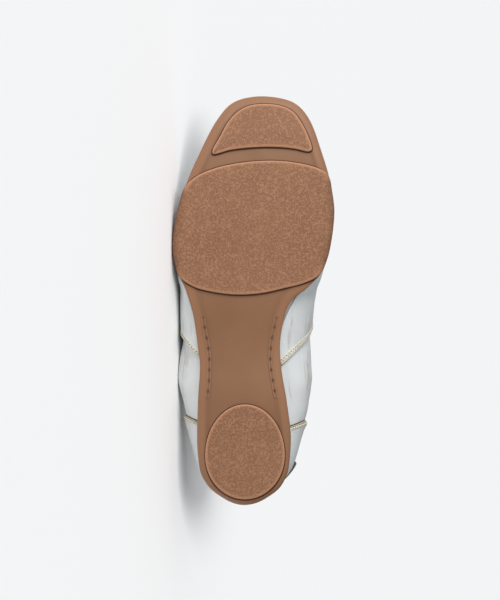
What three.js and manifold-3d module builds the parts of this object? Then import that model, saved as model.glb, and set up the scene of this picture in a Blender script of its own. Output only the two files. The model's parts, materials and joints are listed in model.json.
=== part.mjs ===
// A low right-foot sneaker, empty, lying on its lateral side. Millimetres.
// The shoe is modelled standing: x runs from heel to toe, y towards the medial side, z up from the tread.
// At the end the whole group is turned onto its side and set on the floor, z = 0.
import * as THREE from "three";
import { mergeVertices } from "three/addons/utils/BufferGeometryUtils.js";
import { ConvexHull } from "three/addons/math/ConvexHull.js";
import Module from "manifold-3d";

const wasm = await Module();
wasm.setup();

// Driving sizes of the shoe
const soleLength = 260;
const ballWidth = 100;
const waistWidth = 52;
const heelWidth = 60;
const instepHeight = 88;
const toeSpring = 10;
const archLift = 2.5;

// Rubber
const padHeight = 2.2;
const foreSoleThickness = 4.5;
const heelSoleThickness = 9;
const soleEdgeRound = 4.5;
const ballPadOverhang = 0.7;
const padEdgeRound = 1;
const rimTaper = 0.2;
const rimRound = 0.9;
const waistEdgeDrop = 1.6;

// Leather and lining
const wallThickness = 2;
const collarPadding = 2.4;
const overlayThickness = 1.2;
const featherInset = 3.2;
const insoleThickness = 3.5;
const insoleEdgeRound = 1.2;
const tongueThickness = 4;
const tongueTipLength = 13;
const tongueCrown = 2;
const tongueFullWidth = 12;

// Small parts
const eyeletPairs = 6;
const eyeletRadius = 3;
const eyeletHoleRadius = 1.7;
const eyeletHeight = 0.8;
const laceWidth = 5.5;
const laceThickness = 1.4;
const laceBow = 1.5;
const fitGap = 0.3;

// How finely the surfaces are divided
const columnsAround = 64;
const rowsUp = 8;

// Where the throat ends and the facings begin, as shares of the top line's run from heel to toe
const throatEnd = 0.691;
const facingStart = 0.42;
const facingEnd = 0.63;
const facingLowerEdge = 0.76;

const halfTurn = Math.PI;
const clamp01 = (value) => Math.min(1, Math.max(0, value));
const mix = (a, b, share) => a + (b - a) * share;
const smoothStep = (from, to, value) => {
  const share = clamp01((value - from) / (to - from));
  return share * share * (3 - 2 * share);
};

// Rows of numbers become objects with the named columns
const table = (columns, rows) =>
  rows.map((row) => Object.fromEntries(columns.split(" ").map((name, i) => [name, row[i]])));

// A smooth curve through the knots that never overshoots them
function smoothCurve(knots, values) {
  const secants = knots.slice(1).map((knot, i) => (values[i + 1] - values[i]) / (knot - knots[i]));
  const slopes = knots.map((knot, i) => {
    if (i === 0) return secants[0];
    if (i === knots.length - 1) return secants[i - 1];
    const before = secants[i - 1];
    const after = secants[i];
    if (before * after <= 0) return 0;
    const stepBefore = knot - knots[i - 1];
    const stepAfter = knots[i + 1] - knot;
    const weightBefore = 2 * stepAfter + stepBefore;
    const weightAfter = stepAfter + 2 * stepBefore;
    return (weightBefore + weightAfter) / (weightBefore / before + weightAfter / after);
  });
  return (at) => {
    let i = 0;
    while (i < knots.length - 2 && at > knots[i + 1]) i += 1;
    const step = knots[i + 1] - knots[i];
    const t = (at - knots[i]) / step;
    const rise = t * t * (3 - 2 * t);
    const leave = t * (1 - t) * (1 - t) * step * slopes[i];
    const arrive = t * t * (t - 1) * step * slopes[i + 1];
    return mix(values[i], values[i + 1], rise) + leave + arrive;
  };
}

// The way round the shoe: 0 at the heel, 0.5 at the toe by the lateral side, 1 at the heel again.
// "along" is the share of the length, whose steps shorten towards both ends.
const angleOf = (along) => Math.acos(1 - 2 * along) / halfTurn;
const alongOf = (around) => (1 - Math.cos(2 * halfTurn * around)) / 2;
const sideOf = (around) => (around <= 0.5 ? -1 : 1);
const aroundAt = (along, side) => (side < 0 ? angleOf(along) / 2 : 1 - angleOf(along) / 2);

// A value that runs smoothly all the way round, from a row for each place along the shoe
function ringCurve(rows, lateralValue, medialValue) {
  const lateral = rows.map((row) => [angleOf(row.along) / 2, lateralValue(row)]);
  const medial = rows.slice(1, -1).reverse().map((row) => [1 - angleOf(row.along) / 2, medialValue(row)]);
  const once = [...lateral, ...medial];
  const before = once.slice(-2).map(([at, value]) => [at - 1, value]);
  const after = once.slice(0, 3).map(([at, value]) => [at + 1, value]);
  const all = [...before, ...once, ...after];
  const curve = smoothCurve(all.map((knot) => knot[0]), all.map((knot) => knot[1]));
  return (around) => curve(((around % 1) + 1) % 1);
}

// Outline of the sole: half widths from the shoe's axis, as shares of the width that each row follows
const outlineRows = table("along of lateral medial", [
  [0, heelWidth, 0.06, -0.06],
  [0.018, heelWidth, 0.29, 0.18],
  [0.047, heelWidth, 0.445, 0.33],
  [0.091, heelWidth, 0.535, 0.41],
  [0.164, heelWidth, 0.56, 0.433],
  [0.252, heelWidth, 0.55, 0.39],
  [0.34, waistWidth, 0.61, 0.379],
  [0.384, waistWidth, 0.635, 0.365],
  [0.457, waistWidth, 0.685, 0.415],
  [0.501, ballWidth, 0.385, 0.267],
  [0.53, ballWidth, 0.412, 0.362],
  [0.555, ballWidth, 0.444, 0.425],
  [0.594, ballWidth, 0.476, 0.482],
  [0.633, ballWidth, 0.489, 0.508],
  [0.711, ballWidth, 0.463, 0.533],
  [0.789, ballWidth, 0.4, 0.508],
  [0.867, ballWidth, 0.311, 0.451],
  [0.945, ballWidth, 0.203, 0.374],
  [0.984, ballWidth, 0.108, 0.279],
  [1, ballWidth, -0.076, 0.076],
]);
const outlineY = ringCurve(outlineRows, (row) => -row.lateral * row.of, (row) => row.medial * row.of);

// A point of the sole's outline, moved inwards square to the outline
function soleEdge(around, inset = 0) {
  const step = 1e-4;
  const x = soleLength * alongOf(around);
  const y = outlineY(around);
  const dx = soleLength * (alongOf(around + step) - alongOf(around - step));
  const dy = outlineY(around + step) - outlineY(around - step);
  const size = Math.hypot(dx, dy);
  return [x - (dy / size) * inset, y + (dx / size) * inset];
}

// Heights along the sole
const springStart = 0.7;
const treadHeight = (x) => toeSpring * Math.max(0, (x / soleLength - springStart) / (1 - springStart)) ** 2;
const archHeight = (x) => archLift * Math.sin(halfTurn * clamp01((x / soleLength - 0.25) / 0.27)) ** 2;
const baseBottom = (x) => treadHeight(x) + padHeight + archHeight(x);
const soleThickness = (x) => mix(heelSoleThickness, foreSoleThickness, smoothStep(0.15, 0.6, x / soleLength));
const footbed = (x) => treadHeight(x) + padHeight + soleThickness(x);

// The rim stands up round heel and forefoot and dies out in the waist
const rimShare = (along) => 1 - smoothStep(0.16, 0.27, along) + smoothStep(0.54, 0.62, along);
const rimRow = (around) => 0.06 * rimShare(alongOf(around));
const overlayFootRow = (around) => 0.03 + 0.055 * rimShare(alongOf(around));

// Control lines of the upper between feather and top line: half widths as shares of the ball width,
// heights as shares of the instep height
const flankRows = table("along lateral medial height", [
  [0, 0.035, -0.035, 0.32],
  [0.018, 0.13, 0.065, 0.32],
  [0.047, 0.25, 0.172, 0.32],
  [0.105, 0.36, 0.306, 0.31],
  [0.164, 0.415, 0.355, 0.3],
  [0.252, 0.49, 0.445, 0.27],
  [0.34, 0.54, 0.475, 0.24],
  [0.442, 0.53, 0.515, 0.23],
  [0.501, 0.53, 0.53, 0.235],
  [0.545, 0.525, 0.52, 0.245],
  [0.633, 0.5, 0.515, 0.27],
  [0.711, 0.48, 0.545, 0.285],
  [0.789, 0.415, 0.52, 0.3],
  [0.867, 0.328, 0.464, 0.32],
  [0.945, 0.22, 0.387, 0.35],
  [0.984, 0.125, 0.3, 0.375],
  [1, -0.076, 0.076, 0.385],
]);
const shoulderRows = table("along lateral medial drop", [
  [0, 0.035, -0.035, 0.2],
  [0.018, 0.165, 0.11, 0.2],
  [0.047, 0.25, 0.19, 0.19],
  [0.105, 0.33, 0.275, 0.18],
  [0.164, 0.38, 0.33, 0.16],
  [0.252, 0.45, 0.41, 0.14],
  [0.34, 0.49, 0.44, 0.2],
  [0.42, 0.455, 0.42, 0.27],
  [0.501, 0.4, 0.385, 0.16],
  [0.56, 0.35, 0.365, 0.08],
  [0.633, 0.3, 0.34, 0.02],
  [0.711, 0.245, 0.315, 0],
  [0.789, 0.2, 0.302, 0],
  [0.867, 0.14, 0.28, 0],
  [0.945, 0.074, 0.243, 0],
  [0.984, 0.02, 0.19, 0],
  [1, -0.076, 0.076, 0],
]);

// Top line: collar, throat and the ridge over the toe. Height and middle follow the true length,
// the half opening follows the run of the top line itself.
const topLineRows = table("length height middle", [
  [0.03, 0.755, -0.035],
  [0.1, 0.73, -0.03],
  [0.23, 0.62, -0.01],
  [0.31, 0.7, -0.002],
  [0.365, 0.885, 0.002],
  [0.408, 1, 0.005],
  [0.48, 0.91, 0.01],
  [0.558, 0.79, 0.015],
  [0.635, 0.68, 0.022],
  [0.712, 0.585, 0.035],
  [0.788, 0.51, 0.05],
  [0.854, 0.455, 0.064],
  [0.92, 0.4, 0.076],
]);
const openingRows = table("along half", [
  [0, 0],
  [0.02, 0.14],
  [0.06, 0.21],
  [0.12, 0.26],
  [0.2, 0.285],
  [0.28, 0.275],
  [0.35, 0.23],
  [0.4, 0.175],
  [0.435, 0.135],
  [0.5, 0.125],
  [0.58, 0.115],
  [0.645, 0.09],
  [0.675, 0.06],
  [throatEnd, 0],
  [1, 0],
]);

// How far each control line stands out past heel and toe, or stays behind them
const flankPastHeel = 1;
const flankPastToe = 3;
const shoulderPastHeel = 1;
const shoulderBehindToe = 14;
const topBeforeHeel = 12;
const topBehindToe = 25;
const flankReach = [-flankPastHeel, soleLength + flankPastToe];
const shoulderReach = [-shoulderPastHeel, soleLength - shoulderBehindToe];
const topReach = [topBeforeHeel, soleLength - topBehindToe];

const flankY = ringCurve(flankRows, (row) => -row.lateral * ballWidth, (row) => row.medial * ballWidth);
const flankZ = ringCurve(flankRows, (row) => row.height * instepHeight, (row) => row.height * instepHeight);
const shoulderY = ringCurve(shoulderRows, (row) => -row.lateral * ballWidth, (row) => row.medial * ballWidth);
const shoulderDrop = ringCurve(shoulderRows, (row) => row.drop * instepHeight, (row) => row.drop * instepHeight);
const lengthKnots = topLineRows.map((row) => row.length * soleLength);
const topHeight = smoothCurve(lengthKnots, topLineRows.map((row) => row.height * instepHeight));
const topMiddle = smoothCurve(lengthKnots, topLineRows.map((row) => row.middle * ballWidth));
const halfOpening = ringCurve(openingRows, (row) => -row.half * ballWidth, (row) => row.half * ballWidth);
const topSlope = (x) => (topHeight(x + 0.5) - topHeight(x - 0.5)) / 1;

// The four control points of the rib at one place round the shoe
function ribControls(around) {
  const along = alongOf(around);
  const [featherX, featherY] = soleEdge(around, featherInset);
  const topX = mix(topReach[0], topReach[1], along);
  const shoulderX = mix(shoulderReach[0], shoulderReach[1], along);
  const topZ = topHeight(topX);
  const shoulderZ = topZ + topSlope(topX) * (shoulderX - topX) - shoulderDrop(around);
  return [
    new THREE.Vector3(featherX, featherY, footbed(featherX) + fitGap),
    new THREE.Vector3(mix(flankReach[0], flankReach[1], along), flankY(around), flankZ(around)),
    new THREE.Vector3(shoulderX, shoulderY(around), shoulderZ),
    new THREE.Vector3(topX, topMiddle(topX) + halfOpening(around), topZ),
  ];
}

const isSealed = (around) => alongOf(around) > throatEnd - 1e-3;

// A point on the outside of the upper: the cubic rib from the feather, row 0, to the top line, row 1
function upperPoint(around, row) {
  const [feather, flank, shoulder, top] = ribControls(around);
  const rest = 1 - row;
  return new THREE.Vector3()
    .addScaledVector(feather, rest ** 3)
    .addScaledVector(flank, 3 * row * rest ** 2)
    .addScaledVector(shoulder, 3 * row ** 2 * rest)
    .addScaledVector(top, row ** 3);
}

// The outward direction there. On the sealed ridge it is square to the ridge, the same from both sides.
function upperNormal(around, row) {
  if (row > 0.999 && isSealed(around)) {
    const x = mix(topReach[0], topReach[1], alongOf(around));
    return new THREE.Vector3(-topSlope(x), 0, 1).normalize();
  }
  const step = 1e-3;
  const low = Math.max(0, row - step);
  const high = Math.min(1, row + step);
  const forward = upperPoint(around + step, row).sub(upperPoint(around - step, row));
  const upward = upperPoint(around, high).sub(upperPoint(around, low));
  return forward.cross(upward).normalize();
}

const onUpper = (around, row, lift) => upperPoint(around, row).addScaledVector(upperNormal(around, row), lift);

// The wall thickens into the padded collar behind the facings
function wallAt(around, row) {
  const behindFacings = 1 - smoothStep(0.3, 0.42, alongOf(around));
  return wallThickness + collarPadding * smoothStep(0.6, 0.95, row) * behindFacings;
}

// A point on the inside of the wall, kept above the footbed
function insideUpper(around, row, clearance = 0) {
  const point = onUpper(around, row, -wallAt(around, row) - clearance);
  point.z = Math.max(point.z, footbed(point.x) + fitGap);
  return point;
}

// Triangles become one closed geometry: equal corners are merged, empty triangles dropped
function closedGeometry(triangles) {
  const loose = new THREE.BufferGeometry();
  loose.setAttribute("position", new THREE.Float32BufferAttribute(triangles.flatMap((p) => [p.x, p.y, p.z]), 3));
  const merged = mergeVertices(loose, 1e-3);
  const index = [];
  for (let i = 0; i < merged.index.count; i += 3) {
    const [a, b, c] = [0, 1, 2].map((k) => merged.index.getX(i + k));
    if (a !== b && b !== c && c !== a) index.push(a, b, c);
  }
  const position = merged.attributes.position;
  const corner = (i) => new THREE.Vector3().fromBufferAttribute(position, i);
  let volume = 0;
  for (let i = 0; i < index.length; i += 3) {
    volume += corner(index[i]).dot(corner(index[i + 1]).cross(corner(index[i + 2])));
  }
  if (volume < 0) index.reverse();
  merged.setIndex(index);
  return merged;
}

// A wall between an outer and an inner grid of points, columns round the shoe and rows upwards
function wallSolid(outer, inner, { around = false, sealed = () => false } = {}) {
  const triangles = [];
  const quad = (a, b, c, d) => triangles.push(a, b, c, a, c, d);
  const top = outer[0].length - 1;
  const columns = outer.length;
  for (let i = 0; i < (around ? columns : columns - 1); i += 1) {
    const k = (i + 1) % columns;
    for (let j = 0; j < top; j += 1) {
      quad(outer[i][j], outer[k][j], outer[k][j + 1], outer[i][j + 1]);
      quad(inner[i][j], inner[i][j + 1], inner[k][j + 1], inner[k][j]);
    }
    quad(outer[i][0], inner[i][0], inner[k][0], outer[k][0]);
    if (!(sealed(i) && sealed(k))) quad(outer[i][top], outer[k][top], inner[k][top], inner[i][top]);
  }
  if (!around) {
    const last = columns - 1;
    for (let j = 0; j < top; j += 1) {
      quad(outer[0][j], outer[0][j + 1], inner[0][j + 1], inner[0][j]);
      quad(outer[last][j], inner[last][j], inner[last][j + 1], outer[last][j + 1]);
    }
  }
  return closedGeometry(triangles);
}

// A solid skinned over rings, whose first and last ring have shrunk to a line or a point
function ringSolid(rings) {
  const triangles = [];
  const count = rings[0].length;
  for (let j = 0; j < rings.length - 1; j += 1) {
    for (let i = 0; i < count; i += 1) {
      const k = (i + 1) % count;
      triangles.push(rings[j][i], rings[j][k], rings[j + 1][k]);
      triangles.push(rings[j][i], rings[j + 1][k], rings[j + 1][i]);
    }
  }
  return closedGeometry(triangles);
}

// A solid through cross-sections, closed at both ends
function loftSolid(sections) {
  const middle = (ring) => ring.reduce((sum, p) => sum.add(p), new THREE.Vector3()).divideScalar(ring.length);
  const shrunk = (ring) => ring.map(() => middle(ring));
  return ringSolid([shrunk(sections[0]), ...sections, shrunk(sections.at(-1))]);
}

const ringOf = (make) => Array.from({ length: columnsAround }, (_, i) => make(i / columnsAround));
const shares = (count) => Array.from({ length: count + 1 }, (_, i) => i / count);

// Boolean joins and cuts
function toManifold(geometry) {
  const plain = geometry.clone();
  plain.deleteAttribute("normal");
  plain.deleteAttribute("uv");
  const merged = mergeVertices(plain, 1e-4);
  const source = { numProp: 3, vertProperties: merged.attributes.position.array, triVerts: merged.index.array };
  source.triVerts = new Uint32Array(source.triVerts);
  return new wasm.Manifold(new wasm.Mesh(source));
}
function fromManifold(solid) {
  const mesh = solid.getMesh();
  const geometry = new THREE.BufferGeometry();
  geometry.setAttribute("position", new THREE.BufferAttribute(mesh.vertProperties, 3));
  geometry.setIndex(new THREE.BufferAttribute(mesh.triVerts, 1));
  return geometry;
}

// The middle line of the sole, where its rings shrink together
const spineStart = 0.08;
const spineEnd = 0.92;
function spinePoint(around, height) {
  const x = soleLength * mix(spineStart, spineEnd, alongOf(around));
  const y = (outlineY(around) + outlineY(1 - around)) / 2;
  return new THREE.Vector3(x, y, height(x));
}

// The rubber base: flat tread side, rounded edge, rim beside the upper, footbed
function soleBase() {
  const edgePoint = (around, inset, height) => {
    const [x, y] = soleEdge(around, inset);
    return new THREE.Vector3(x, y, height(x));
  };
  const rimTop = (around) => onUpper(around, rimRow(around), fitGap);
  const rimHeight = (around) => mix(-waistEdgeDrop, rimTop(around).z - footbed(rimTop(around).x), rimShare(alongOf(around)));
  const sideHeight = (around, x, share) => mix(baseBottom(x), footbed(x) + rimHeight(around), share);
  const rimInner = (around) => {
    const low = edgePoint(around, featherInset - fitGap * 3, (x) => footbed(x) - fitGap);
    return low.lerp(rimTop(around), rimShare(alongOf(around)));
  };
  return ringSolid([
    ringOf((around) => spinePoint(around, baseBottom)),
    ringOf((around) => edgePoint(around, soleEdgeRound * 3, baseBottom)),
    ringOf((around) => edgePoint(around, soleEdgeRound, baseBottom)),
    ringOf((around) => edgePoint(around, soleEdgeRound * 0.3, (x) => sideHeight(around, x, 0.16))),
    ringOf((around) => edgePoint(around, 0, (x) => sideHeight(around, x, 0.45))),
    ringOf((around) => edgePoint(around, rimTaper, (x) => sideHeight(around, x, 0.85))),
    ringOf((around) => edgePoint(around, rimRound, (x) => sideHeight(around, x, 1))),
    ringOf(rimInner),
    ringOf((around) => edgePoint(around, featherInset - fitGap, footbed)),
    ringOf((around) => edgePoint(around, soleEdgeRound * 3, footbed)),
    ringOf((around) => spinePoint(around, footbed)),
  ]);
}

// A raised tread pad inside a closed outline, its foot sunk into the base
function treadPad(outline, centre, sunkBy, flatShares = []) {
  const towards = (point, inset) => {
    const away = Math.hypot(centre.x - point.x, centre.y - point.y);
    return point.clone().lerp(centre, inset / away);
  };
  const ring = (move, lift) =>
    outline.map((point) => {
      const moved = move(point);
      return new THREE.Vector3(moved.x, moved.y, treadHeight(moved.x) + lift);
    });
  const flatRing = (share) => ring((point) => point.clone().lerp(centre, share), 0);
  return ringSolid([
    ring(() => centre, padHeight + 1),
    ring((point) => towards(point, 0), padHeight + sunkBy),
    ring((point) => towards(point, 0), padEdgeRound),
    ring((point) => towards(point, padEdgeRound * 0.3), padEdgeRound * 0.3),
    ring((point) => towards(point, padEdgeRound), 0),
    ...flatShares.map(flatRing),
    flatRing(1),
  ]);
}

// Plan points given as shares of sole length and ball width
const planPoint = (length, width) => new THREE.Vector3(length * soleLength, width * ballWidth, 0);
const closedOutline = (points, count) =>
  new THREE.CatmullRomCurve3(points, true, "centripetal").getSpacedPoints(count).slice(0, count);

function heelPadOutline() {
  const middle = planPoint(0.122, -0.032);
  const halfWidth = heelWidth * 0.42;
  const forward = soleLength * 0.1245;
  const backward = soleLength * 0.1065;
  return shares(40).slice(0, 40).map((share) => {
    const angle = 2 * halfTurn * share;
    const reach = Math.cos(angle) > 0 ? forward : backward;
    return new THREE.Vector3(middle.x + reach * Math.cos(angle), middle.y + halfWidth * Math.sin(angle), 0);
  });
}

// The ball pad runs out over both edges of the sole
function ballPadOutline() {
  const side = (alongs, sign) =>
    alongs.map((along) => {
      const [x, y] = soleEdge(aroundAt(along, sign), -ballPadOverhang);
      return new THREE.Vector3(x, y, 0);
    });
  const rear = [[0.534, -0.36], [0.521, -0.24], [0.514, -0.08], [0.518, 0.08], [0.53, 0.22], [0.542, 0.34]];
  const front = [
    [0.811, 0.485], [0.822, 0.43], [0.831, 0.35], [0.839, 0.22], [0.84, 0.08], [0.834, -0.08], [0.822, -0.22],
    [0.802, -0.34],
  ];
  return closedOutline([
    ...rear.map(([length, width]) => planPoint(length, width)),
    ...side([0.563, 0.6, 0.66, 0.72, 0.77, 0.794], 1),
    ...front.map(([length, width]) => planPoint(length, width)),
    ...side([0.775, 0.74, 0.69, 0.63, 0.59, 0.56], -1),
  ], 60);
}

function toePadOutline() {
  const points = [
    [0.857, -0.235], [0.867, -0.12], [0.873, 0.02], [0.874, 0.15], [0.87, 0.28], [0.863, 0.375], [0.868, 0.392],
    [0.9, 0.37], [0.935, 0.325], [0.962, 0.27], [0.975, 0.2], [0.98, 0.1], [0.976, 0], [0.962, -0.075],
    [0.935, -0.14], [0.9, -0.19], [0.865, -0.238],
  ];
  return closedOutline(points.map(([length, width]) => planPoint(length, width)), 44);
}

function outsole() {
  const ballCentre = planPoint(0.676, 0.02);
  const toeCentre = planPoint(0.92, 0.09);
  const heelCentre = planPoint(0.122, -0.032);
  const pads = [
    treadPad(heelPadOutline(), heelCentre, 2),
    treadPad(toePadOutline(), toeCentre, 1.5, [0.5]),
    treadPad(ballPadOutline(), ballCentre, 2.4, [0.3, 0.6]),
  ];
  const solid = pads.map(toManifold).reduce((whole, pad) => whole.add(pad), toManifold(soleBase()));
  return fromManifold(solid);
}

// Cylinders down through each eyelet, to cut facing and upper
const eyeletAlongs = shares(eyeletPairs - 1).map((share) => mix(facingStart + 0.022, facingEnd - 0.018, share));
const eyeletRow = 0.885;
const eyeletPlaces = eyeletAlongs.flatMap((along, i) =>
  [-1, 1].map((side) => ({ around: aroundAt(along, side), side, pair: i + 1 })));
const turnTo = (normal) => new THREE.Quaternion().setFromUnitVectors(new THREE.Vector3(0, 1, 0), normal);

const holeReach = 6;
function cutEyelets(geometry, places) {
  const holes = places.map(({ around }) => {
    const hole = new THREE.CylinderGeometry(eyeletHoleRadius, eyeletHoleRadius, 2 * holeReach, 6);
    hole.applyQuaternion(turnTo(upperNormal(around, eyeletRow)));
    hole.translate(...upperPoint(around, eyeletRow).toArray());
    return toManifold(hole);
  });
  return fromManifold(holes.reduce((solid, hole) => solid.subtract(hole), toManifold(geometry)));
}

// The upper's own form, lifted off its surface
const liftedForm = (lift) => {
  const liftAt = typeof lift === "function" ? lift : () => lift;
  return ringOf((around) => shares(rowsUp).map((row) => onUpper(around, row, liftAt(around, row))));
};
const isSealedColumn = (column) => isSealed(column / columnsAround);

// Quarters, vamp and lining: one hollow shell, open at collar and throat and underneath
function upperShell() {
  const inside = ringOf((around) => shares(rowsUp).map((row) => insideUpper(around, row)));
  const shell = wallSolid(liftedForm(0), inside, { around: true, sealed: isSealedColumn });
  return cutEyelets(shell, eyeletPlaces);
}

// A curtain stands across the upper's surface and encloses an overlay's field. Its ends follow two edge
// lines, which give the place round the shoe for each row.
const curtainDepth = -1.6;
const curtainReach = 6;
function curtain(startOf, endOf, columns, rowsOf) {
  const places = shares(columns).map((share) => (row) => mix(startOf(row), endOf(row), share));
  const grid = (lift) => places.map((placeOf) =>
    rowsOf(placeOf(1)).map((row) => onUpper(placeOf(row), row, lift)));
  return wallSolid(grid(curtainReach), grid(curtainDepth), { sealed: (column) => rowsOf(places[column](1)).at(-1) === 1 });
}

// An overlay is cut between two larger forms of the upper, and the curtain cuts its edges
function overlay(field, { lift = () => fitGap, thickness = overlayThickness } = {}) {
  const over = (around, row) => lift(around, row) + thickness;
  const band = wallSolid(liftedForm(over), liftedForm(lift), { around: true, sealed: isSealedColumn });
  return fromManifold(toManifold(band).intersect(toManifold(field)));
}

// The seam where the forward panel laps the quarters, and the front edge of the counter:
// the place along the shoe for each row up the rib
const seamRows = table("row lateral medial", [
  [0, 0.35, 0.335],
  [0.2, 0.402, 0.388],
  [0.45, 0.433, 0.433],
  [0.77, 0.483, 0.48],
  [1, 0.493, 0.493],
]);
const counterRows = table("row lateral medial", [
  [0, 0.199, 0.187],
  [0.45, 0.218, 0.205],
  [0.8, 0.165, 0.155],
  [1, 0.12, 0.115],
]);
const edgeLine = (rows, side) =>
  smoothCurve(rows.map((row) => row.row), rows.map((row) => (side < 0 ? row.lateral : row.medial)));

function vampPanel() {
  const lateralSeam = edgeLine(seamRows, -1);
  const medialSeam = edgeLine(seamRows, 1);
  const rowsOf = (place) => {
    const top = isSealed(place) ? 1 : facingLowerEdge - 0.01;
    const foot = overlayFootRow(place);
    return shares(4).map((share) => mix(foot, top, share));
  };
  const startOf = (row) => aroundAt(lateralSeam(row), -1);
  const endOf = (row) => aroundAt(medialSeam(row), 1);
  return overlay(curtain(startOf, endOf, 32, rowsOf));
}

function heelCounter() {
  const lateralEdge = edgeLine(counterRows, -1);
  const medialEdge = edgeLine(counterRows, 1);
  const startOf = (row) => aroundAt(medialEdge(row), 1) - 1;
  const endOf = (row) => aroundAt(lateralEdge(row), -1);
  const rowsOf = (place) => shares(8).map((share) => mix(overlayFootRow(place), 0.97, share));
  return overlay(curtain(startOf, endOf, 10, rowsOf));
}

function facing(side) {
  const [startPlace, endPlace] = [facingStart, facingEnd].map((along) => aroundAt(along, side)).sort();
  const field = curtain(() => startPlace, () => endPlace, 6, () => [facingLowerEdge, 0.99]);
  return cutEyelets(overlay(field), eyeletPlaces.filter((place) => place.side === side));
}

// The dark textured tab round the back of the collar; its front corner on the medial side stands away
const tabTopRow = 0.93;
const tabFootRow = 0.6;
const tabCornerLift = 3;
const tabThickness = 1;
function heelTab() {
  const medialEnd = aroundAt(0.1, 1) - 1;
  const lateralEnd = aroundAt(0.05, -1);
  const lift = (around, row) => {
    const place = around > 0.5 ? around - 1 : around;
    const front = 1 - smoothStep(0, 0.22, (place - medialEnd) / (lateralEnd - medialEnd));
    const low = 1 - smoothStep(tabFootRow, tabTopRow - 0.05, row);
    return fitGap * 2 + overlayThickness + tabCornerLift * front * low;
  };
  const rowsOf = () => [tabFootRow, tabTopRow];
  return overlay(curtain(() => medialEnd, () => lateralEnd, 8, rowsOf), { lift, thickness: tabThickness });
}

function insole() {
  const edge = (around, inset, lift) => {
    const foot = insideUpper(around, 0);
    const [x, y] = [foot.x, foot.y];
    const [edgeX, edgeY] = soleEdge(around, 0);
    const inwards = Math.hypot(x - edgeX, y - edgeY);
    const share = (inwards + inset) / inwards;
    const point = new THREE.Vector3(mix(edgeX, x, share), mix(edgeY, y, share), 0);
    point.z = footbed(point.x) + lift;
    return point;
  };
  const low = fitGap;
  const high = fitGap + insoleThickness;
  return ringSolid([
    ringOf((around) => spinePoint(around, (x) => footbed(x) + low)),
    ringOf((around) => edge(around, fitGap * 3, low)),
    ringOf((around) => edge(around, fitGap * 3, mix(low, high, 0.7))),
    ringOf((around) => edge(around, fitGap * 3 + insoleEdgeRound, high)),
    ringOf((around) => spinePoint(around, (x) => footbed(x) + high)),
  ]);
}

// The tongue lies under the facings and its tip stands up past the top of the throat
const tongueColumns = 8;
function tongueSpan(along, sideRow) {
  const under = (side, row) => insideUpper(aroundAt(along, side), row, fitGap * 3);
  const lateral = under(-1, 1);
  const medial = under(1, 1);
  const middle = lateral.clone().add(medial).multiplyScalar(0.5);
  middle.z += tongueCrown * smoothStep(0, tongueFullWidth, Math.abs(medial.y - lateral.y));
  const knots = [under(-1, sideRow), under(-1, mix(sideRow, 1, 0.6)), middle];
  knots.push(under(1, mix(sideRow, 1, 0.6)), under(1, sideRow));
  return new THREE.CatmullRomCurve3(knots, false, "centripetal").getPoints(tongueColumns);
}

function tongue() {
  const stations = [[0.77, 0.9], [0.73, 0.85], [0.69, 0.82], [0.63, 0.8], [0.56, 0.8], [0.5, 0.82], [0.45, 0.85]];
  const spans = stations.map(([along, sideRow]) => tongueSpan(along, sideRow));
  const lastSpan = spans.at(-1);
  const middleOf = (span) => span[tongueColumns / 2];
  const leave = middleOf(lastSpan).clone().sub(middleOf(spans.at(-2))).normalize();
  for (const [share, narrow] of [[0.5, 0.78], [1, 0.6]]) {
    const shift = leave.clone().multiplyScalar(tongueTipLength * share);
    spans.push(lastSpan.map((point) => {
      const centre = middleOf(lastSpan);
      return new THREE.Vector3(point.x, mix(centre.y, point.y, narrow), point.z).add(shift);
    }));
  }
  const lowerSpans = spans.map((span, i) => {
    const ahead = middleOf(spans[Math.min(i + 1, spans.length - 1)]);
    const behind = middleOf(spans[Math.max(i - 1, 0)]);
    const run = ahead.clone().sub(behind).setY(0).normalize();
    const down = new THREE.Vector3(-run.z, 0, run.x);
    if (down.z > 0) down.negate();
    return span.map((point, k) => {
      const sideShare = Math.abs((2 * k) / tongueColumns - 1);
      const thickness = tongueThickness * (1 - 0.7 * sideShare ** 4);
      return point.clone().addScaledVector(down, thickness);
    });
  });
  return wallSolid(spans, lowerSpans);
}

function eyelet() {
  const outer = eyeletRadius;
  const inner = eyeletHoleRadius;
  const profile = [[inner, 0], [outer, 0], [outer, eyeletHeight * 0.5], [mix(outer, inner, 0.4), eyeletHeight], [inner, 0]];
  return new THREE.LatheGeometry(profile.map(([r, y]) => new THREE.Vector2(r, y)), 8);
}

// A flat lace bar from an eyelet to its partner, bowed over the tongue
function laceBar(along) {
  const lift = fitGap + overlayThickness + fitGap + eyeletHeight + fitGap + laceThickness / 2;
  const ends = [-1, 1].map((side) => onUpper(aroundAt(along, side), eyeletRow, lift));
  const edges = [-1, 1].map((side) => onUpper(aroundAt(along, side), 0.97, lift));
  const middle = edges[0].clone().add(edges[1]).multiplyScalar(0.5);
  middle.z += laceBow;
  const path = new THREE.CatmullRomCurve3([ends[0], edges[0], middle, edges[1], ends[1]], false, "centripetal");
  const slope = Math.atan(topSlope(mix(topReach[0], topReach[1], along)));
  const across = new THREE.Vector3(Math.cos(slope), 0, Math.sin(slope));
  const steps = 6;
  const sections = path.getPoints(steps).map((point, i) => {
    const tangent = path.getTangent(i / steps);
    const up = tangent.clone().cross(across).normalize();
    const corner = [[-0.5, 0], [-0.4, 0.5], [0.4, 0.5], [0.5, 0], [0.4, -0.5], [-0.4, -0.5]];
    return corner.map(([a, b]) =>
      point.clone().addScaledVector(across, a * laceWidth).addScaledVector(up, b * laceThickness));
  });
  return loftSolid(sections);
}

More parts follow.
